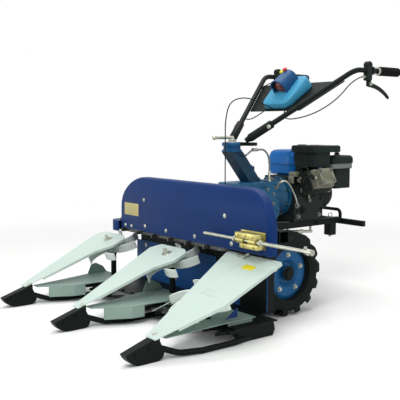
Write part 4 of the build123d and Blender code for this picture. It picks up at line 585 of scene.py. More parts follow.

# %% [markdown]
# ## Gearbox, clutch and column
# The casting is closed by lids on bolts, so bolt heads follow its outline. The steering column's collar
# is given a brighter copy of the column's paint, as painted light: a turned sleeve covers the flange, and a
# small block its stub.

# %% Bolts of the gearbox and the clutch housing
LID_X = 75
LID_OUTLINE = (
    (-54, 165), (-54, 235), (-54, 305), (-54, 375), (-53, 445), (-36, 522), (34, 530), (104, 530), (174, 530),
    (184, 470), (184, 410), (136, 372), (64, 262), (60, 200),
)
for name, sign in SIDES:
    ring = [(sign * LID_X, y, z) for y, z in LID_OUTLINE]
    bolts(f"lid_bolts_{name}", "chassis", 12, (sign, 0, 0), ring, "case_paint")
CRANK_Z = 466
BOSSES = (((18, 338), 32, 85, 4), ((110, CRANK_Z), 44, 87, 6))
boss_places = [
    (x, mid[0] + y, mid[1] + z) for mid, radius, x, count in BOSSES for y, z in circle_of(count, radius, 0.5)
]
bolts("boss_bolts", "chassis", 10, LEFT, boss_places)
bolts("clutch_bolts", "chassis", 9, FRONT, [(x, 248, CRANK_Z + z) for x, z in circle_of(8, 86, 0.39)])
hatch = bmesh.new()
block(hatch, (-58, 126, 542), (58, 190, 547), 1.2)
turned(hatch, spot(30, 158, 547), UP, ((0, 13), (11, 13), (13, 11), (13, 2), (17, 2), (17, 0)))
piece("gearbox_hatch", hatch, "case_paint", "chassis")
bolts("hatch_bolts", "chassis", 10, UP, [(x, y, 547) for x in (-48, 0, 48) for y in (135, 181)])
print("gearbox bolted")

# %% Collar, stub and swivel hardware
SWIVEL_Y = -28
collar = bmesh.new()
COLLAR_PROFILE = (
    (30, 682.6), (44.5, 682.6), (44.5, 690), (43, 691.4), (38.5, 691.4), (38.5, 706.6), (30, 706.6),
)
turned(collar, spot(0, SWIVEL_Y, 0), UP, COLLAR_PROFILE, 48)
block(collar, (-16, 60, 548), (16, 95, 613), 2)
piece("column_collar", collar, "collar_paint_painted_light", "chassis")
head_cap = bmesh.new()
CAP_PROFILE = ((14, 723.6), (40, 723.6), (45.2, 720), (45.2, 707.6), (43, 707.4))
turned(head_cap, spot(0, SWIVEL_Y, 0), UP, CAP_PROFILE, 48)
piece("head_cap", head_cap, "collar_paint_painted_light", "handlebar")
swivel = bmesh.new()
peg(swivel, spot(0, SWIVEL_Y, 723.4), UP, 24, 2, crown=0.6)
peg(swivel, spot(0, SWIVEL_Y, 725.4), UP, 19, 11, 6, crown=1.5)
BALL = [(10 * sin(pi * i / 8), -10 * cos(pi * i / 8)) for i in range(9)]
turned(swivel, spot(0, -130, 744.4), FRONT, BALL, 24)
piece("swivel_nut", swivel, "bright_zinc", "handlebar")
sleeves = bmesh.new()
SLEEVE = ((4, 0), (7.5, 0), (7.5, 30), (5.5, 34), (4, 34))
turned(sleeves, spot(64, 37, 690), REAR, SLEEVE, 20)
turned(sleeves, spot(64, 142, 544), UP, ((4, 0), (9, 0), (9, 6), (6, 8), (6, 44), (4.5, 48), (4, 48)), 20)
piece("cable_sleeves", sleeves, "bright_zinc", "chassis")
print("column dressed")

# %% [markdown]
# ## Handlebar
# A fork on the column carries two bent tubes, with a hand lever, its cable and a ribbed grip on each. Tubes
# and cables could be swept meshes, but a curve with a round section bends smoothly from a few points. A
# lever tapers, so it is a plate cut to its outline. The ribs and the bright ring before them are turned.

# %% Tubes and fork
TUBE_FOOT, TUBE_BEND = Vector((62, 36, 748)), Vector((295, 449, 1048))
TUBE_RUN = (TUBE_BEND - TUBE_FOOT).normalized()
TUBE_R = 12
GRIP_X, GRIP_Z = TUBE_BEND.x, TUBE_BEND.z
TUBE_LINE = (
    TUBE_FOOT, (210, 298, 938.5), (262, 390.5, 1005.5), TUBE_BEND, (GRIP_X, 520, GRIP_Z),
    (GRIP_X, 747, GRIP_Z),
)
SLEEVE_LINE = ((0, -34), (11, -34), (13, -20), (18.5, -8), (18.5, 104), (17, 108), (TUBE_R - 1, 110))
FORK_LEVELS = ((707.6, 2), (709.6, 0), (720, 0), (722.4, 2))


def on_side(sign, point):
    """A point of the left side, or its mirror image on the right."""
    return sign * point[0], point[1], point[2]


fork = bmesh.new()
moulded(fork, (-80, 80, 13, 59), 14, FORK_LEVELS)
moulded(fork, (-44, 44, -60, 36), 30, FORK_LEVELS)
for name, sign in SIDES:
    turned(fork, spot(*on_side(sign, TUBE_FOOT)), on_side(sign, TUBE_RUN), SLEEVE_LINE)
    route = [on_side(sign, point) for point in TUBE_LINE]
    tube = pipe(f"bent_tube_{name}", "handlebar", TUBE_R, route, "black_enamel")
    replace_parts(tube, f"handle_tube_{name}")
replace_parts(piece("handle_fork", fork, "black_enamel", "handlebar"), "handle_head")
print("tubes bent")

# %% Cables
LEVER_CABLE = (
    (295, 494, 1018), (295, 430, 1000), (290, 340, 915), (240, 250, 850), (150, 190, 822), (90, 196, 836),
    (70, 229, 865),
)
FRONT_CABLE = (
    (20, 232, 866), (20, 150, 892), (20, 40, 926), (20, -60, 905), (20, -84, 820), (20, -84, 760),
    (20, -84, 694.4),
)
CABLE_FOOT = ((20, -84, 693.4), (20, -84, 560), (20, -84, 440), (20, -80, 430), (20, -66, 430))
CLUTCH_CABLE = (
    (30, 0, 664), (60, 0, 664), (64, 14, 676), (64, 37, 690), (64, 71, 690), (64, 112, 690), (64, 142, 650),
    (64, 142, 592), (64, 142, 543),
)
CABLE_R, CLUTCH_CABLE_R = 2.6, 4.2
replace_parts(pipe("front_cable", "handlebar", CABLE_R, FRONT_CABLE, "black_plastic"), "handle_cables")
for name, sign in SIDES:
    route = [on_side(sign, point) for point in LEVER_CABLE]
    pipe(f"lever_cable_{name}", "handlebar", CABLE_R, route, "black_plastic")
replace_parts(pipe("cable_foot", "chassis", CABLE_R, CABLE_FOOT, "black_plastic"), "column_cables")
pipe("clutch_cable", "chassis", CLUTCH_CABLE_R, CLUTCH_CABLE, "dull_zinc")
print("cables led")

# %% Control levers
# side of the lever: along the machine, height, and half its depth
LEVER_LINE = (
    (538, 986, 11), (560, 982, 10), (590, 976, 9), (620, 966, 8.5), (645, 954, 8), (668, 940, 7.5),
    (686, 926, 6),
)
LEVER_T = 14
CLAMP_LEVELS = ((1002, 4), (1006, 0), (1060, 0), (1066, 4))
SWITCH = ((0, 0), (14, 0), (17.5, 4), (17.5, 26), (14, 30), (0, 30))
PIVOT = ((0, 0), (11, 0), (12, 2), (12, 14), (11, 16), (0, 16))
controls = bmesh.new()
for sign in (1, -1):
    x = sign * GRIP_X
    moulded(controls, (x - 17, x + 17, 518, 552), 10, CLAMP_LEVELS)
    turned(controls, spot(x - 15, 535, 1072), LEFT, SWITCH)
    turned(controls, spot(x, 552, GRIP_Z), REAR, ((TUBE_R, 0), (20, 0), (20, 14), (18, 18), (TUBE_R, 18)))
    turned(controls, spot(x - 8, 546, 986), LEFT, PIVOT, 20)
    block(controls, (x - 7, 530, 976), (x + 7, 554, 1010), 4)
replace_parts(piece("lever_clamps", controls, "black_plastic", "handlebar"), "levers")
lever_outline = [(y, z + half) for y, z, half in LEVER_LINE]
lever_outline += [(y, z - half) for y, z, half in reversed(LEVER_LINE)]
for name, sign in SIDES:
    lever = bmesh.new()
    inner_face = Matrix.Translation(Vector((sign * GRIP_X - LEVER_T / 2, 0, 0)) * MM)
    plate(lever, lever_outline, LEVER_T, MACHINE @ inner_face @ SIDE_TURN)
    round_over(lever, lever.edges, 3)
    piece(f"hand_lever_{name}", lever, "black_plastic", "handlebar")
print("levers fitted")

# %% Grips and adjusters
GRIP_FRONT_Y = 607
RIB = ((20, 0), (21.3, 1.2), (21.3, 4.2), (20, 5.4))
GRIP_RING = ((TUBE_R, 0), (19, 0), (20, 2), (20, 10), (19, 12), (TUBE_R, 12))
ribs, bright = bmesh.new(), bmesh.new()
for sign in (1, -1):
    for i in range(14):
        turned(ribs, spot(sign * GRIP_X, GRIP_FRONT_Y + 8 + 9.6 * i, GRIP_Z), REAR, RIB, 32)
    turned(bright, spot(sign * GRIP_X, 595, GRIP_Z), REAR, GRIP_RING)
    for way in (1, -1):
        bolt(bright, spot(sign * GRIP_X + way * 8, 546, 986), (way, 0, 0), 10)
    peg(bright, spot(sign * GRIP_X, 517, 1018), FRONT, 7, 8, 6)
    peg(bright, spot(sign * GRIP_X, 510, 1018), FRONT, 5.6, 16, tip=4.6, crown=0.5)
    run = Vector(on_side(sign, TUBE_RUN))
    across = run.cross(Vector(UP)).normalized() * sign
    bolt(bright, spot(*on_side(sign, TUBE_FOOT)) + (run * 84 + across * 18.2) * MM, across, 11)
piece("grip_ribs", ribs, "grip_rubber", "handlebar")
piece("handle_hardware", bright, "bright_zinc", "handlebar")
print("handlebar dressed")

# %% [markdown]
# ## Console and lamp
# The console is a moulded wedge, so rounded outlines are skinned into a shell that is then narrowed and
# lowered towards its front. The hood over the lamp is a darker moulding with a rolled front rim: half a
# turn of a profile, on straight sides. The lamp has a black bezel and a domed lens, and on the hood sit a
# yellow and a red push knob.

# %% Console, hood, lens and knobs
SLOPE_RUN = Vector((0, *(TUBE_BEND - TUBE_FOOT).yz)).normalized()
SLOPE_UP = Vector((0, -SLOPE_RUN.z, SLOPE_RUN.y))


def on_console(x, along, rise):
    """A place on the console: sideways, along the slope, and square to it."""
    return spot(x, *TUBE_FOOT.yz) + (SLOPE_RUN * along + SLOPE_UP * rise) * MM


CONSOLE_TURN = Matrix.Translation(on_console(0, 0, 0)) @ axes(LEFT, SLOPE_RUN, SLOPE_UP)
CONSOLE_FRONT, CONSOLE_LEN = 236, 196
CONSOLE_LEVELS = ((-16, 3), (-12, 0), (0, 0), (34, 3), (41, 8), (44, 16))
FRONT_WIDTH, FRONT_HEIGHT = 0.84, 0.30       # of the console's front, as shares of its rear
body = bmesh.new()
moulded(body, (-102, 102, CONSOLE_FRONT, CONSOLE_FRONT + CONSOLE_LEN), 38, CONSOLE_LEVELS, Matrix())
for vert in body.verts:
    back = (vert.co.y / MM - CONSOLE_FRONT) / CONSOLE_LEN
    vert.co.x *= FRONT_WIDTH + (1 - FRONT_WIDTH) * back
    if vert.co.z > 0:
        vert.co.z *= FRONT_HEIGHT + (1 - FRONT_HEIGHT) * back
bmesh.ops.transform(body, matrix=CONSOLE_TURN, verts=body.verts)
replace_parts(piece("moulded_console", body, "console_plastic", "handlebar"), "console")
hood_turn = axes(LEFT, SLOPE_UP, -SLOPE_RUN)
HOOD_R, HOOD_RISE = 42, 50
hood = bmesh.new()
HOOD_PROFILE = (
    (HOOD_R - 3, 0), (44, 0), (44.5, -2.5), (44, -6), (HOOD_R, -9), (HOOD_R, -98), (40, -104), (34, -107),
    (0, -108),
)
turned(hood, None, None, HOOD_PROFILE, 32, pi, Matrix.Translation(on_console(0, 304, HOOD_RISE)) @ hood_turn)
for sign in (1, -1):
    low, high = sorted((sign * HOOD_R, sign * (HOOD_R - 3)))
    block(hood, (low, 306, 8), (high, 408, HOOD_RISE + 0.5), 0.8, CONSOLE_TURN)
block(hood, (-40, 406, 8), (40, 411, HOOD_RISE + 0.5), 0.8, CONSOLE_TURN)
piece("lamp_hood", hood, "hood_plastic", "handlebar")
lamp_front = on_console(0, 322, HOOD_RISE)
bezel = bmesh.new()
turned(bezel, lamp_front, -SLOPE_RUN, ((0, -1), (38.8, -1), (38.8, 4), (36, 6), (32, 4), (30.5, 0)), 48)
piece("lamp_bezel", bezel, "black_plastic", "handlebar")
lens = bmesh.new()
turned(lens, lamp_front, -SLOPE_RUN, ((31, 0), (29, 3), (24, 6), (16, 8), (7, 9), (0, 9.2)), 48)
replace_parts(piece("lamp_lens", lens, "lamp_red", "handlebar"), "headlamp")
for name, finish_name, x in (("yellow", "marker_yellow", -30), ("red", "knob_red", -4)):
    knob = bmesh.new()
    profile = ((0, 14), (8, 14), (11, 12), (12, 9), (11, 6), (8, 5), (8, -4), (0, -4))
    turned(knob, on_console(x, 396, HOOD_RISE + (HOOD_R ** 2 - x * x) ** 0.5 - 2), SLOPE_UP, profile)
    piece(f"push_knob_{name}", knob, finish_name, "handlebar")
print("console dressed")

# %% [markdown]
# ## Engine
# A small petrol engine is a crowd of fittings round the crankcase. The ones that show are built here: the
# carburettor with its float bowl, the spark plug with its cap and lead, an oil pipe, the grey clip band of
# the air cleaner, the louvres of the heat shield, the filler neck, the starter's handle, and the bolts.

# %% Carburettor, plug and pipes
carburettor = bmesh.new()
block(carburettor, (110, 430, 519), (162, 460, 563), 4)
BOWL = ((0, 0), (15, 0), (20, 4), (21, 30), (23, 31), (23, 36), (0, 36))
turned(carburettor, spot(136, 445, 484), UP, BOWL)
turned(carburettor, spot(136, 421, 540), REAR, ((0, 0), (31, 0), (31, 6), (24, 9), (24, 40), (0, 40)))
block(carburettor, (158, 436, 540), (172, 452, 548), 1.5)
piece("carburettor", carburettor, "bare_alloy", "chassis")
plug_at, plug_way = spot(190, 309, 556), Vector((0.32, -0.9, 0.3)).normalized()
plug = bmesh.new()
turned(plug, plug_at, plug_way, ((0, 0), (11, 0), (11, 4), (9, 5), (9, 14), (6, 15), (5, 30), (0, 30)), 20)
piece("spark_plug", plug, "bright_zinc", "chassis")
boot = bmesh.new()
BOOT = ((5, 0), (9, 0), (10, 3), (10, 26), (8, 30), (0, 30))
turned(boot, plug_at + plug_way * 20 * MM, plug_way, BOOT, 20)
piece("plug_cap", boot, "black_plastic", "chassis")
PLUG_LEAD = ((203, 272, 568), (196, 262, 600), (150, 280, 612), (96, 300, 600), (70, 318, 566))
pipe("plug_lead", "chassis", 3.5, PLUG_LEAD, "black_plastic")
OIL_PIPE = (
    (76, 178, 520), (98, 182, 546), (110, 212, 545), (112, 240, 506), (113, 262, 470), (112, 275, 432),
)
pipe("oil_pipe", "chassis", 5, OIL_PIPE, "bright_zinc")
bolts("oil_pipe_bolts", "chassis", 16, LEFT, ((75, 176, 518), (110, 276, 428)))
print("carburettor, plug and pipes fitted")

# %% Fuel tank and heat shield
TANK_LEVELS = (
    (560, 16), (563, 6), (570, 1), (612, 0), (613, -6), (619, -6), (620, 0), (652, 1), (668, 8), (677, 20),
    (681, 40),
)
tank = bmesh.new()
moulded(tank, (-163, 30, 330, 560), 44, TANK_LEVELS)
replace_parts(piece("pressed_tank", tank, "tank_paint", "chassis"), "fuel_tank")
lid = bmesh.new()
moulded(lid, (28, 196, 302, 488), 26, ((674, 0), (696, 0), (702, 3), (705, 9)))
piece("shield_lid", lid, "heat_black", "chassis")
print("tank and shield made")

# %% Air cleaner and caps
band = bmesh.new()
block(band, (96, 438, 596), (186, 582, 618), 0, corner=22)
piece("cleaner_band", band, "band_grey", "chassis")
louvres = bmesh.new()
for i in range(9):
    block(louvres, (100 + 10 * i, 428, 704), (104 + 10 * i, 462, 706), 0.8)
piece("shield_louvres", louvres, "bright_zinc", "chassis")
slats = bmesh.new()
for i in range(7):
    block(slats, (52 + 18 * i, 300.5, 682), (64 + 18 * i, 303, 688), 0.8)
    block(slats, (52 + 18 * i, 312.8, 630), (58 + 18 * i, 314.5, 672), 0.8)
piece("muffler_slats", slats, "heat_black", "chassis")
cap = bmesh.new()
turned(cap, spot(141, 510, 655), UP, ((0, 16), (8, 16), (11, 13), (12, 6), (16, 3), (16, 0)))
for x, y in circle_of(18, 32):
    peg(cap, spot(-66.5 + x, 488 + y, 682), UP, 3, 15, 10, crown=1)
turned(cap, spot(-66.5, 488, 699), UP, ((0, 5), (18, 5), (24, 3), (26, 0)))
piece("cap_grips", cap, "black_plastic", "chassis")
neck = bmesh.new()
turned(neck, spot(-66.5, 488, 679.5), UP, ((33, 0), (40, 0), (39, 2.5), (33, 4)), 48)
piece("filler_neck", neck, "bright_zinc", "chassis")
print("engine top dressed")

# %% Starter, plugs and engine bolts
starter = bmesh.new()
block(starter, (34, 556, 502), (84, 574, 520), 5)
block(starter, (52, 545, 505), (66, 558, 517), 2)
turned(starter, spot(110, 318, 404), LEFT, ((0, 16), (9, 16), (11, 13), (11, 8), (17, 7), (17, 0)), 12)
piece("starter_handle", starter, "black_plastic", "chassis")
bolts("shroud_bolts", "chassis", 10, REAR, [(x, 519, CRANK_Z + z) for x, z in circle_of(4, 86, 0.8)])
CYLINDER_Y = 356
CYLINDER_WAY = Vector((cos(radians(25)), 0, sin(radians(25))))
CYLINDER_UP = Vector((-CYLINDER_WAY.z, 0, CYLINDER_WAY.x))
rocker_bolts = bmesh.new()
for y in (-36, 36):
    for rise in (-26, 26):
        at = spot(0, CYLINDER_Y + y, CRANK_Z) + (CYLINDER_WAY * 245.6 + CYLINDER_UP * rise) * MM
        bolt(rocker_bolts, at, CYLINDER_WAY, 11)
piece("rocker_bolts", rocker_bolts, "dull_zinc", "chassis")
ribs = bmesh.new()
rocker_face = spot(0, CYLINDER_Y, CRANK_Z) + CYLINDER_WAY * 0.2462
rocker = Matrix.Translation(rocker_face) @ Matrix.Rotation(radians(65), 4, "Y")
for shift in (-24, -8, 8, 24):
    rib = rocker @ Matrix.Translation((0, shift * MM, 0)) @ Matrix.Rotation(0.5, 4, "Z")
    block(ribs, (-24, -2.5, -2), (24, 2.5, 3), 1.2, rib)
piece("rocker_ribs", ribs, "bare_alloy", "chassis")
bolts("sump_bolts", "chassis", 14, LEFT, ((110, 284, 376), (110, 424, 376)))
bolts("case_bolts", "chassis", 9, LEFT, [(110, y, z) for y in (274, 438) for z in (404, 452)], "black_enamel")
fittings = bmesh.new()
block(fittings, (109, 296, 486), (118, 372, 508), 2)
block(fittings, (112, 344, 452), (117, 356, 512), 1.5)
turned(fittings, spot(104, 350, 448), LEFT, ((0, 20), (7, 20), (8, 17), (8, 6), (14, 5), (14, 0)), 20)
PLUG = ((0, 24), (8, 24), (10, 21), (10, 8), (15, 6), (15, 0))
turned(fittings, spot(100, 300, 540), (0.6, 0, 0.8), PLUG, 20)
block(fittings, (60, 268, 560), (104, 300, 584), 5)
block(fittings, (72, 254, 530), (100, 268, 566), 4)
piece("engine_fittings", fittings, "bare_alloy", "chassis")
LINK = ((118, 300, 496), (128, 340, 500), (140, 390, 520), (150, 432, 536))
pipe("governor_link", "chassis", 2.2, LINK, "bright_zinc")
bolts("rail_bolts", "chassis", 13, LEFT, [(105, y, 336) for y in (110, 420, 560)], "black_enamel")
bolts("rail_bolts_right", "chassis", 13, RIGHT, [(-105, y, 336) for y in (110, 420, 560)], "black_enamel")
buckle = bmesh.new()
BUCKLE = ((7, 0), (10, 0), (10, 14), (8.5, 16), (8.5, 84), (10, 86), (10, 98), (7, 98))
turned(buckle, spot(90, 238, 305.6), (0, 1, -0.07), BUCKLE, 20)
block(buckle, (79, 222, 296), (101, 240, 316), 3)
piece("turnbuckle", buckle, "bright_zinc", "chassis")
hitch_pin = bmesh.new()
PIN = ((0, 0), (6, 0), (8.5, 4), (8.5, 96), (15, 97), (15, 104), (0, 104))
turned(hitch_pin, spot(0, 630, 236), UP, PIN, 24)
ring = [(13 + 2.5 * cos(tau * i / 8), 2.5 * sin(tau * i / 8)) for i in range(9)]
turned(hitch_pin, spot(0, 630, 346), LEFT, ring, 28)
piece("hitch_pin", hitch_pin, "bright_zinc", "chassis")
print("engine bolted")

# %% [markdown]
# ## Header
# The big cover is a pressed sheet: a folded hem stiffens its lower edge and domed bolts hold it to the frame
# behind. A blank plate is riveted to its right end. Below it runs the gathering chain, whose link plates
# are laid along the solid, and the guide rod sits in two folded, yellow plated straps.

# %% Pressed cover
COVER_Y, COVER_TOP_Z = -285, 556
sheet = bmesh.new()
moulded(
    sheet, (-533, 522, 150, COVER_TOP_Z), 156,
    ((248, 0), (272, 0), (279, 2), (283, 6), (285, 12)), MACHINE @ FRONT_TURN,
)
bmesh.ops.recalc_face_normals(sheet, faces=sheet.faces)
backs = [face for face in sheet.faces if len(face.verts) > 4 and face.normal.y > 0]
bmesh.ops.delete(sheet, geom=backs, context="FACES")
cut = spot(0, 0, 307)
everything = sheet.verts[:] + sheet.edges[:] + sheet.faces[:]
bmesh.ops.bisect_plane(sheet, geom=everything, plane_co=cut, plane_no=UP, clear_inner=True)
for z in range(440, 556, 12):
    everything = sheet.verts[:] + sheet.edges[:] + sheet.faces[:]
    bmesh.ops.bisect_plane(sheet, geom=everything, plane_co=spot(0, 0, z), plane_no=UP)
for vert in sheet.verts:
    lean = max(0.0, vert.co.z / MM - 440) / (COVER_TOP_Z - 440)
    vert.co.y += 26 * lean * lean * MM
bmesh.ops.recalc_face_normals(sheet, faces=sheet.faces)
bmesh.ops.solidify(sheet, geom=sheet.faces[:], thickness=2.5 * MM)
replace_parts(piece("pressed_cover", sheet, "navy_paint", "chassis"), "header_cover")
print("cover pressed")

# %% Hem, plate and wall
trim = bmesh.new()
block(trim, (-500, COVER_Y - 2.5, 307.2), (496, COVER_Y + 0.5, 315), 1)
piece("cover_hem", trim, "navy_paint", "chassis")
# A black sheet on the lower wall, behind the wide divider, is painted shade: it darkens wall that only lies
# in the cover's shadow.
guard = bmesh.new()
block(guard, (258, -203, 60), (413, -198.5, 238), 1.5)
piece("wall_guard", guard, "black_enamel", "chassis")
domes = bmesh.new()
DOME = ((0, 5), (3, 4.6), (5.5, 3), (6.5, 1.2), (9, 1.1), (9, 0))
COVER_BOLTS = (
    (-325, 454), (257, 438), (-318, 333), (-150, 331), (-486, 321), (-434, 321), (60, 331), (300, 331),
)
WALL_BOLTS = (
    (-439, 220), (-260, 220), (-60, 220), (300, 220), (385, 220), (385, 90), (-490, 90), (-200, 90),
)
for x, z in COVER_BOLTS:
    turned(domes, spot(x, COVER_Y, z), FRONT, DOME, 20)
for x, z in WALL_BOLTS:
    turned(domes, spot(x, -198, z), FRONT, DOME, 20)
piece("cover_bolts", domes, "bright_zinc", "chassis")
cream = bmesh.new()
block(cream, (-492, COVER_Y - 1.6, 373), (-371, COVER_Y + 0.5, 431), 0.6)
for x in (-486, -377):
    for z in (379, 425):
        turned(cream, spot(x, COVER_Y - 1.6, z), FRONT, ((0, 1.6), (2, 1.2), (3, 0)), 12)
piece("blank_plate", cream, "plate_cream", "chassis")
bolts("end_guard_bolts", "chassis", 13, UP, ((-592, -240, 336), (-560, -272, 336), (-560, -208, 336)))
print("cover trimmed")

# %% Chain links, knife rivets and deck bolts
links = bmesh.new()
for i in range(30):
    x = -556 + 25.4 * i
    for y, way in ((-276, -1), (-204, 1)):
        reach = 1.2 if i % 2 else 2.0
        low, high = sorted((y, y + way * reach))
        block(links, (x - 14, low, 290.5), (x + 14, high, 301.5), 0.7)
        for end in (-9, 9):
            peg(links, spot(x + end, y + way * reach, 296), (0, way, 0), 3.2, 0.6, 12)
piece("chain_links", links, "ground_steel", "chassis")
rivets = bmesh.new()
for i in range(11):
    for shift in (-17, 17):
        turned(rivets, spot(-4 + 76.2 * (i - 5) + shift, -465, 58.2), UP, ((0, 3), (3, 2.4), (5, 0)), 12)
block(rivets, (388, -475, 58), (414, -457, 66), 1.5)
piece("knife_rivets", rivets, "ground_steel", "knife_slide")
bolts("deck_bolts", "chassis", 12, UP, [(-4 + 76.2 * (i - 6.5), -438, 58) for i in range(14)], "black_enamel")
print("chain, knife and deck detailed")

# %% Guide rod straps
straps = bmesh.new()
block(straps, (376, -335, 371), (494, -288, 393), 3)
block(straps, (398, -330, 333), (499, -288, 352), 3)
piece("rod_straps", straps, "yellow_zinc", "chassis")
strap_bolts = [(x, -335, 382) for x in (392, 435, 478)] + [(x, -330, 342) for x in (420, 478)]
bolts("strap_bolts", "chassis", 9, FRONT, strap_bolts, "yellow_zinc")
nuts = bmesh.new()
for x in (354, 500):
    peg(nuts, spot(x, -318, 362), LEFT, 12, 8, 6, crown=1)
turned(nuts, spot(752, -328, 362), REAR, ((5, 0), (9, 0), (10, 2), (10, 18), (9, 20), (5, 20), (5, 0)), 24)
bolt(nuts, spot(733, -318, 373), UP, 10)
piece("rod_nuts", nuts, "bright_zinc", "chassis")
print("guide rod clamped")

# %% [markdown]
# ## Dividers
# Each sheet cover is held by a wing nut on its star wheel's post and by a screw near the tip. The covers
# slope, so their small parts are placed in each cover's own frame: sideways, along the slope, and off it.

# %% Fittings on the covers
SLOPE = atan2(0.396, 1.0)
COVER_TURN = Matrix.Rotation(SLOPE, 4, "X")
COVER_TOP = 3.0
wing_nuts, screws = bmesh.new(), bmesh.new()
DIVIDERS = (-521, -35, 474)
WASHER = ((0, 2), (21, 2), (22, 1), (22, 0))
WING_BOSS = ((0, 20), (5, 20), (6, 18), (6, 9), (10, 7), (11, 0))
for divider_x in DIVIDERS:
    base = Matrix.Translation(spot(divider_x, -363, 251)) @ COVER_TURN
    way = base.to_3x3() @ Vector(UP)
    turned(screws, base @ (Vector((-4, -440, COVER_TOP)) * MM), way, DOME, 16)
    if divider_x < 400:
        turned(wing_nuts, base @ (Vector((0, 0, COVER_TOP)) * MM), way, WASHER, 32)
        turned(wing_nuts, base @ (Vector((0, 0, COVER_TOP + 2)) * MM), way, WING_BOSS, 20)
        for sign in (1, -1):
            wing = base @ Matrix.Translation((sign * 0.012, 0, 0.012)) @ Matrix.Rotation(sign * -0.5, 4, "Y")
            block(wing_nuts, (-8, -2, -4), (8, 2, 12), 1.6, wing)
piece("wing_nuts", wing_nuts, "bright_zinc", "chassis")
piece("cover_screws", screws, "bright_zinc", "chassis")
wide = Matrix.Translation(spot(474, -363, 251)) @ COVER_TURN
clip = bmesh.new()
block(clip, (-138, 84, COVER_TOP - 0.5), (-92, 100, COVER_TOP + 7), 2, wide)
block(clip, (-100, 76, COVER_TOP - 0.5), (-88, 106, COVER_TOP + 12), 2, wide)
piece("cover_clip", clip, "bright_zinc", "chassis")
marker = bmesh.new()
block(marker, (-46, 16, COVER_TOP - 0.5), (16, 46, COVER_TOP + 0.6), 0.4, wide)
piece("side_marker", marker, "marker_yellow", "chassis")
press = bmesh.new()
block(press, (-58, -176, COVER_TOP - 1), (44, -142, COVER_TOP + 0.7), 0.7, wide)
block(press, (-60, -182, COVER_TOP - 1), (46, -180, COVER_TOP + 0.7), 0.7, wide)
crease_turn = Matrix.Rotation(atan2(86, 402), 4, "Z").inverted()
crease = wide @ Matrix.Translation(Vector((-104, -145, 0)) * MM) @ crease_turn
block(press, (-1.2, -205, COVER_TOP - 1), (1.2, 205, COVER_TOP + 0.8), 0.7, crease)
piece("pressed_ribs", press, "divider_paint", "chassis")
print("covers fitted")

# %% Tips, posts and brackets
TIP_X = 18
tips = bmesh.new()
for divider_x in DIVIDERS:
    for sign in (1, -1):
        for y, z in ((-862, 40), (-806, 52)):
            bolt(tips, spot(divider_x + sign * TIP_X, y, z), (sign, 0, 0), 13)
piece("tip_bolts", tips, "black_enamel", "chassis")
bracket = bmesh.new()
bracket_base = MACHINE @ Matrix.Translation((0.478, 0, 0)) @ SIDE_TURN
plate(bracket, ((-465, 92), (-410, 92), (-410, 126)), 4, bracket_base)
piece("corner_bracket", bracket, "navy_paint", "chassis")
print("tips bolted")

# %% [markdown]
# ## Floor, light and camera
# A machine this dark needs large soft lights, so that its edges carry long highlights. The floor is plain
# and pale and takes the shadow; further out it fades to white, so that no horizon shows. The world lights
# the scene softly; only the camera, and what metal or glass mirrors, sees it as white.

# %% Floor
FLOOR_HALF = 40.0
FADE = (1.3, 3.2)
floor_mesh = bmesh.new()
bmesh.ops.create_grid(floor_mesh, x_segments=1, y_segments=1, size=FLOOR_HALF)
floor_data = bpy.data.meshes.new("studio_floor")
floor_mesh.to_mesh(floor_data)
floor_mesh.free()
floor = bpy.data.objects.new("studio_floor", floor_data)
bpy.context.scene.collection.objects.link(floor)
floor_material = bpy.data.materials.new("studio_floor")
floor_material.use_nodes = True
ground = floor_material.node_tree
near = ground.nodes["Principled BSDF"]
near.inputs["Base Color"].default_value = (0.94, 0.94, 0.93, 1)
near.inputs["Roughness"].default_value = 0.95
near.inputs["Specular IOR Level"].default_value = 0.05
here = place(ground, "ShaderNodeTexCoord").outputs["Object"]
distance = place(ground, "ShaderNodeVectorMath", ((0, here),), operation="LENGTH").outputs["Value"]


def white_to_the_eye(tree, soft_strength):
    """A strength of 1 for what the camera, mirrors and glass see, and a softer one for light."""
    path = place(tree, "ShaderNodeLightPath").outputs
    mirrored = sums(tree, "MAXIMUM", path["Is Glossy Ray"], path["Is Transmission Ray"])
    return ranged(tree, sums(tree, "MAXIMUM", path["Is Camera Ray"], mirrored), 0.0, 1.0, soft_strength, 1.0)


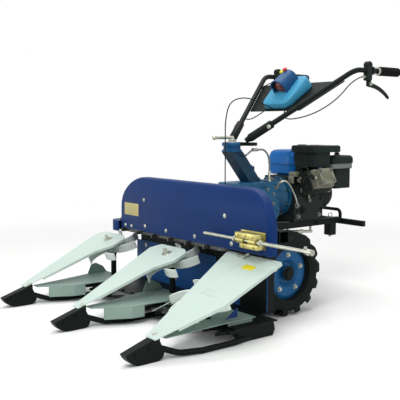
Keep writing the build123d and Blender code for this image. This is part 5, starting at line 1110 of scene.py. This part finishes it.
SKY_STRENGTH = 0.46
far = place(ground, "ShaderNodeEmission", (("Strength", white_to_the_eye(ground, SKY_STRENGTH)),))
fade = ranged(ground, distance, *FADE, 0.0, 1.0)
blend = place(ground, "ShaderNodeMixShader", ((0, fade), (1, near.outputs[0]), (2, far.outputs[0])))
ground.links.new(blend.outputs[0], ground.nodes["Material Output"].inputs["Surface"])
floor_data.materials.append(floor_material)
print("floor laid")

# %% World and lamps
world = bpy.data.worlds.new("studio")
bpy.context.scene.world = world
world.use_nodes = True
sky = world.node_tree
backdrop = sky.nodes["Background"]
backdrop.inputs["Color"].default_value = (1, 1, 1, 1)
sky.links.new(white_to_the_eye(sky, SKY_STRENGTH), backdrop.inputs["Strength"])

# name, place, aimed at, size, watts
LAMPS = (
    ("key_light", (1.4, -2.2, 3.6), (0, -0.2, 0.4), 2.2, 82.0),
    ("top_light", (-0.6, 0.8, 3.6), (0, 0.0, 0.5), 2.6, 62.0),
    ("side_light", (3.4, 0.4, 2.0), (0, 0.2, 0.5), 1.8, 24.0),
    ("fill_light", (-1.8, -3.2, 1.0), (-0.1, -0.5, 0.2), 2.0, 26.0),
)


def aimed(place_at, target):
    """A turn that points an object's -Z axis from one point to another."""
    return (Vector(target) - Vector(place_at)).to_track_quat("-Z", "Y").to_euler()


for name, place_at, target, size, watts in LAMPS:
    lamp_data = bpy.data.lights.new(name, "AREA")
    lamp_data.shape = "DISK"
    lamp_data.size = size
    lamp_data.energy = watts
    lamp = bpy.data.objects.new(name, lamp_data)
    lamp.location = place_at
    lamp.rotation_euler = aimed(place_at, target)
    bpy.context.scene.collection.objects.link(lamp)
print(len(LAMPS), "lamps hung")

# %% Camera
CAMERA_AT = (2.4027, -2.0503, 0.7988)
CAMERA_AIM = (-0.1904, -0.0235, 0.4573)
camera_data = bpy.data.cameras.new("photo_camera")
camera_data.sensor_width = 36.0
camera_data.lens = 64.85
camera = bpy.data.objects.new("photo_camera", camera_data)
camera.location = CAMERA_AT
camera.rotation_euler = aimed(CAMERA_AT, CAMERA_AIM)
bpy.context.scene.collection.objects.link(camera)
bpy.context.scene.camera = camera
bpy.context.scene.view_settings.view_transform = "Standard"
print("camera", round((Vector(CAMERA_AIM) - Vector(CAMERA_AT)).length, 2), "m from the machine")
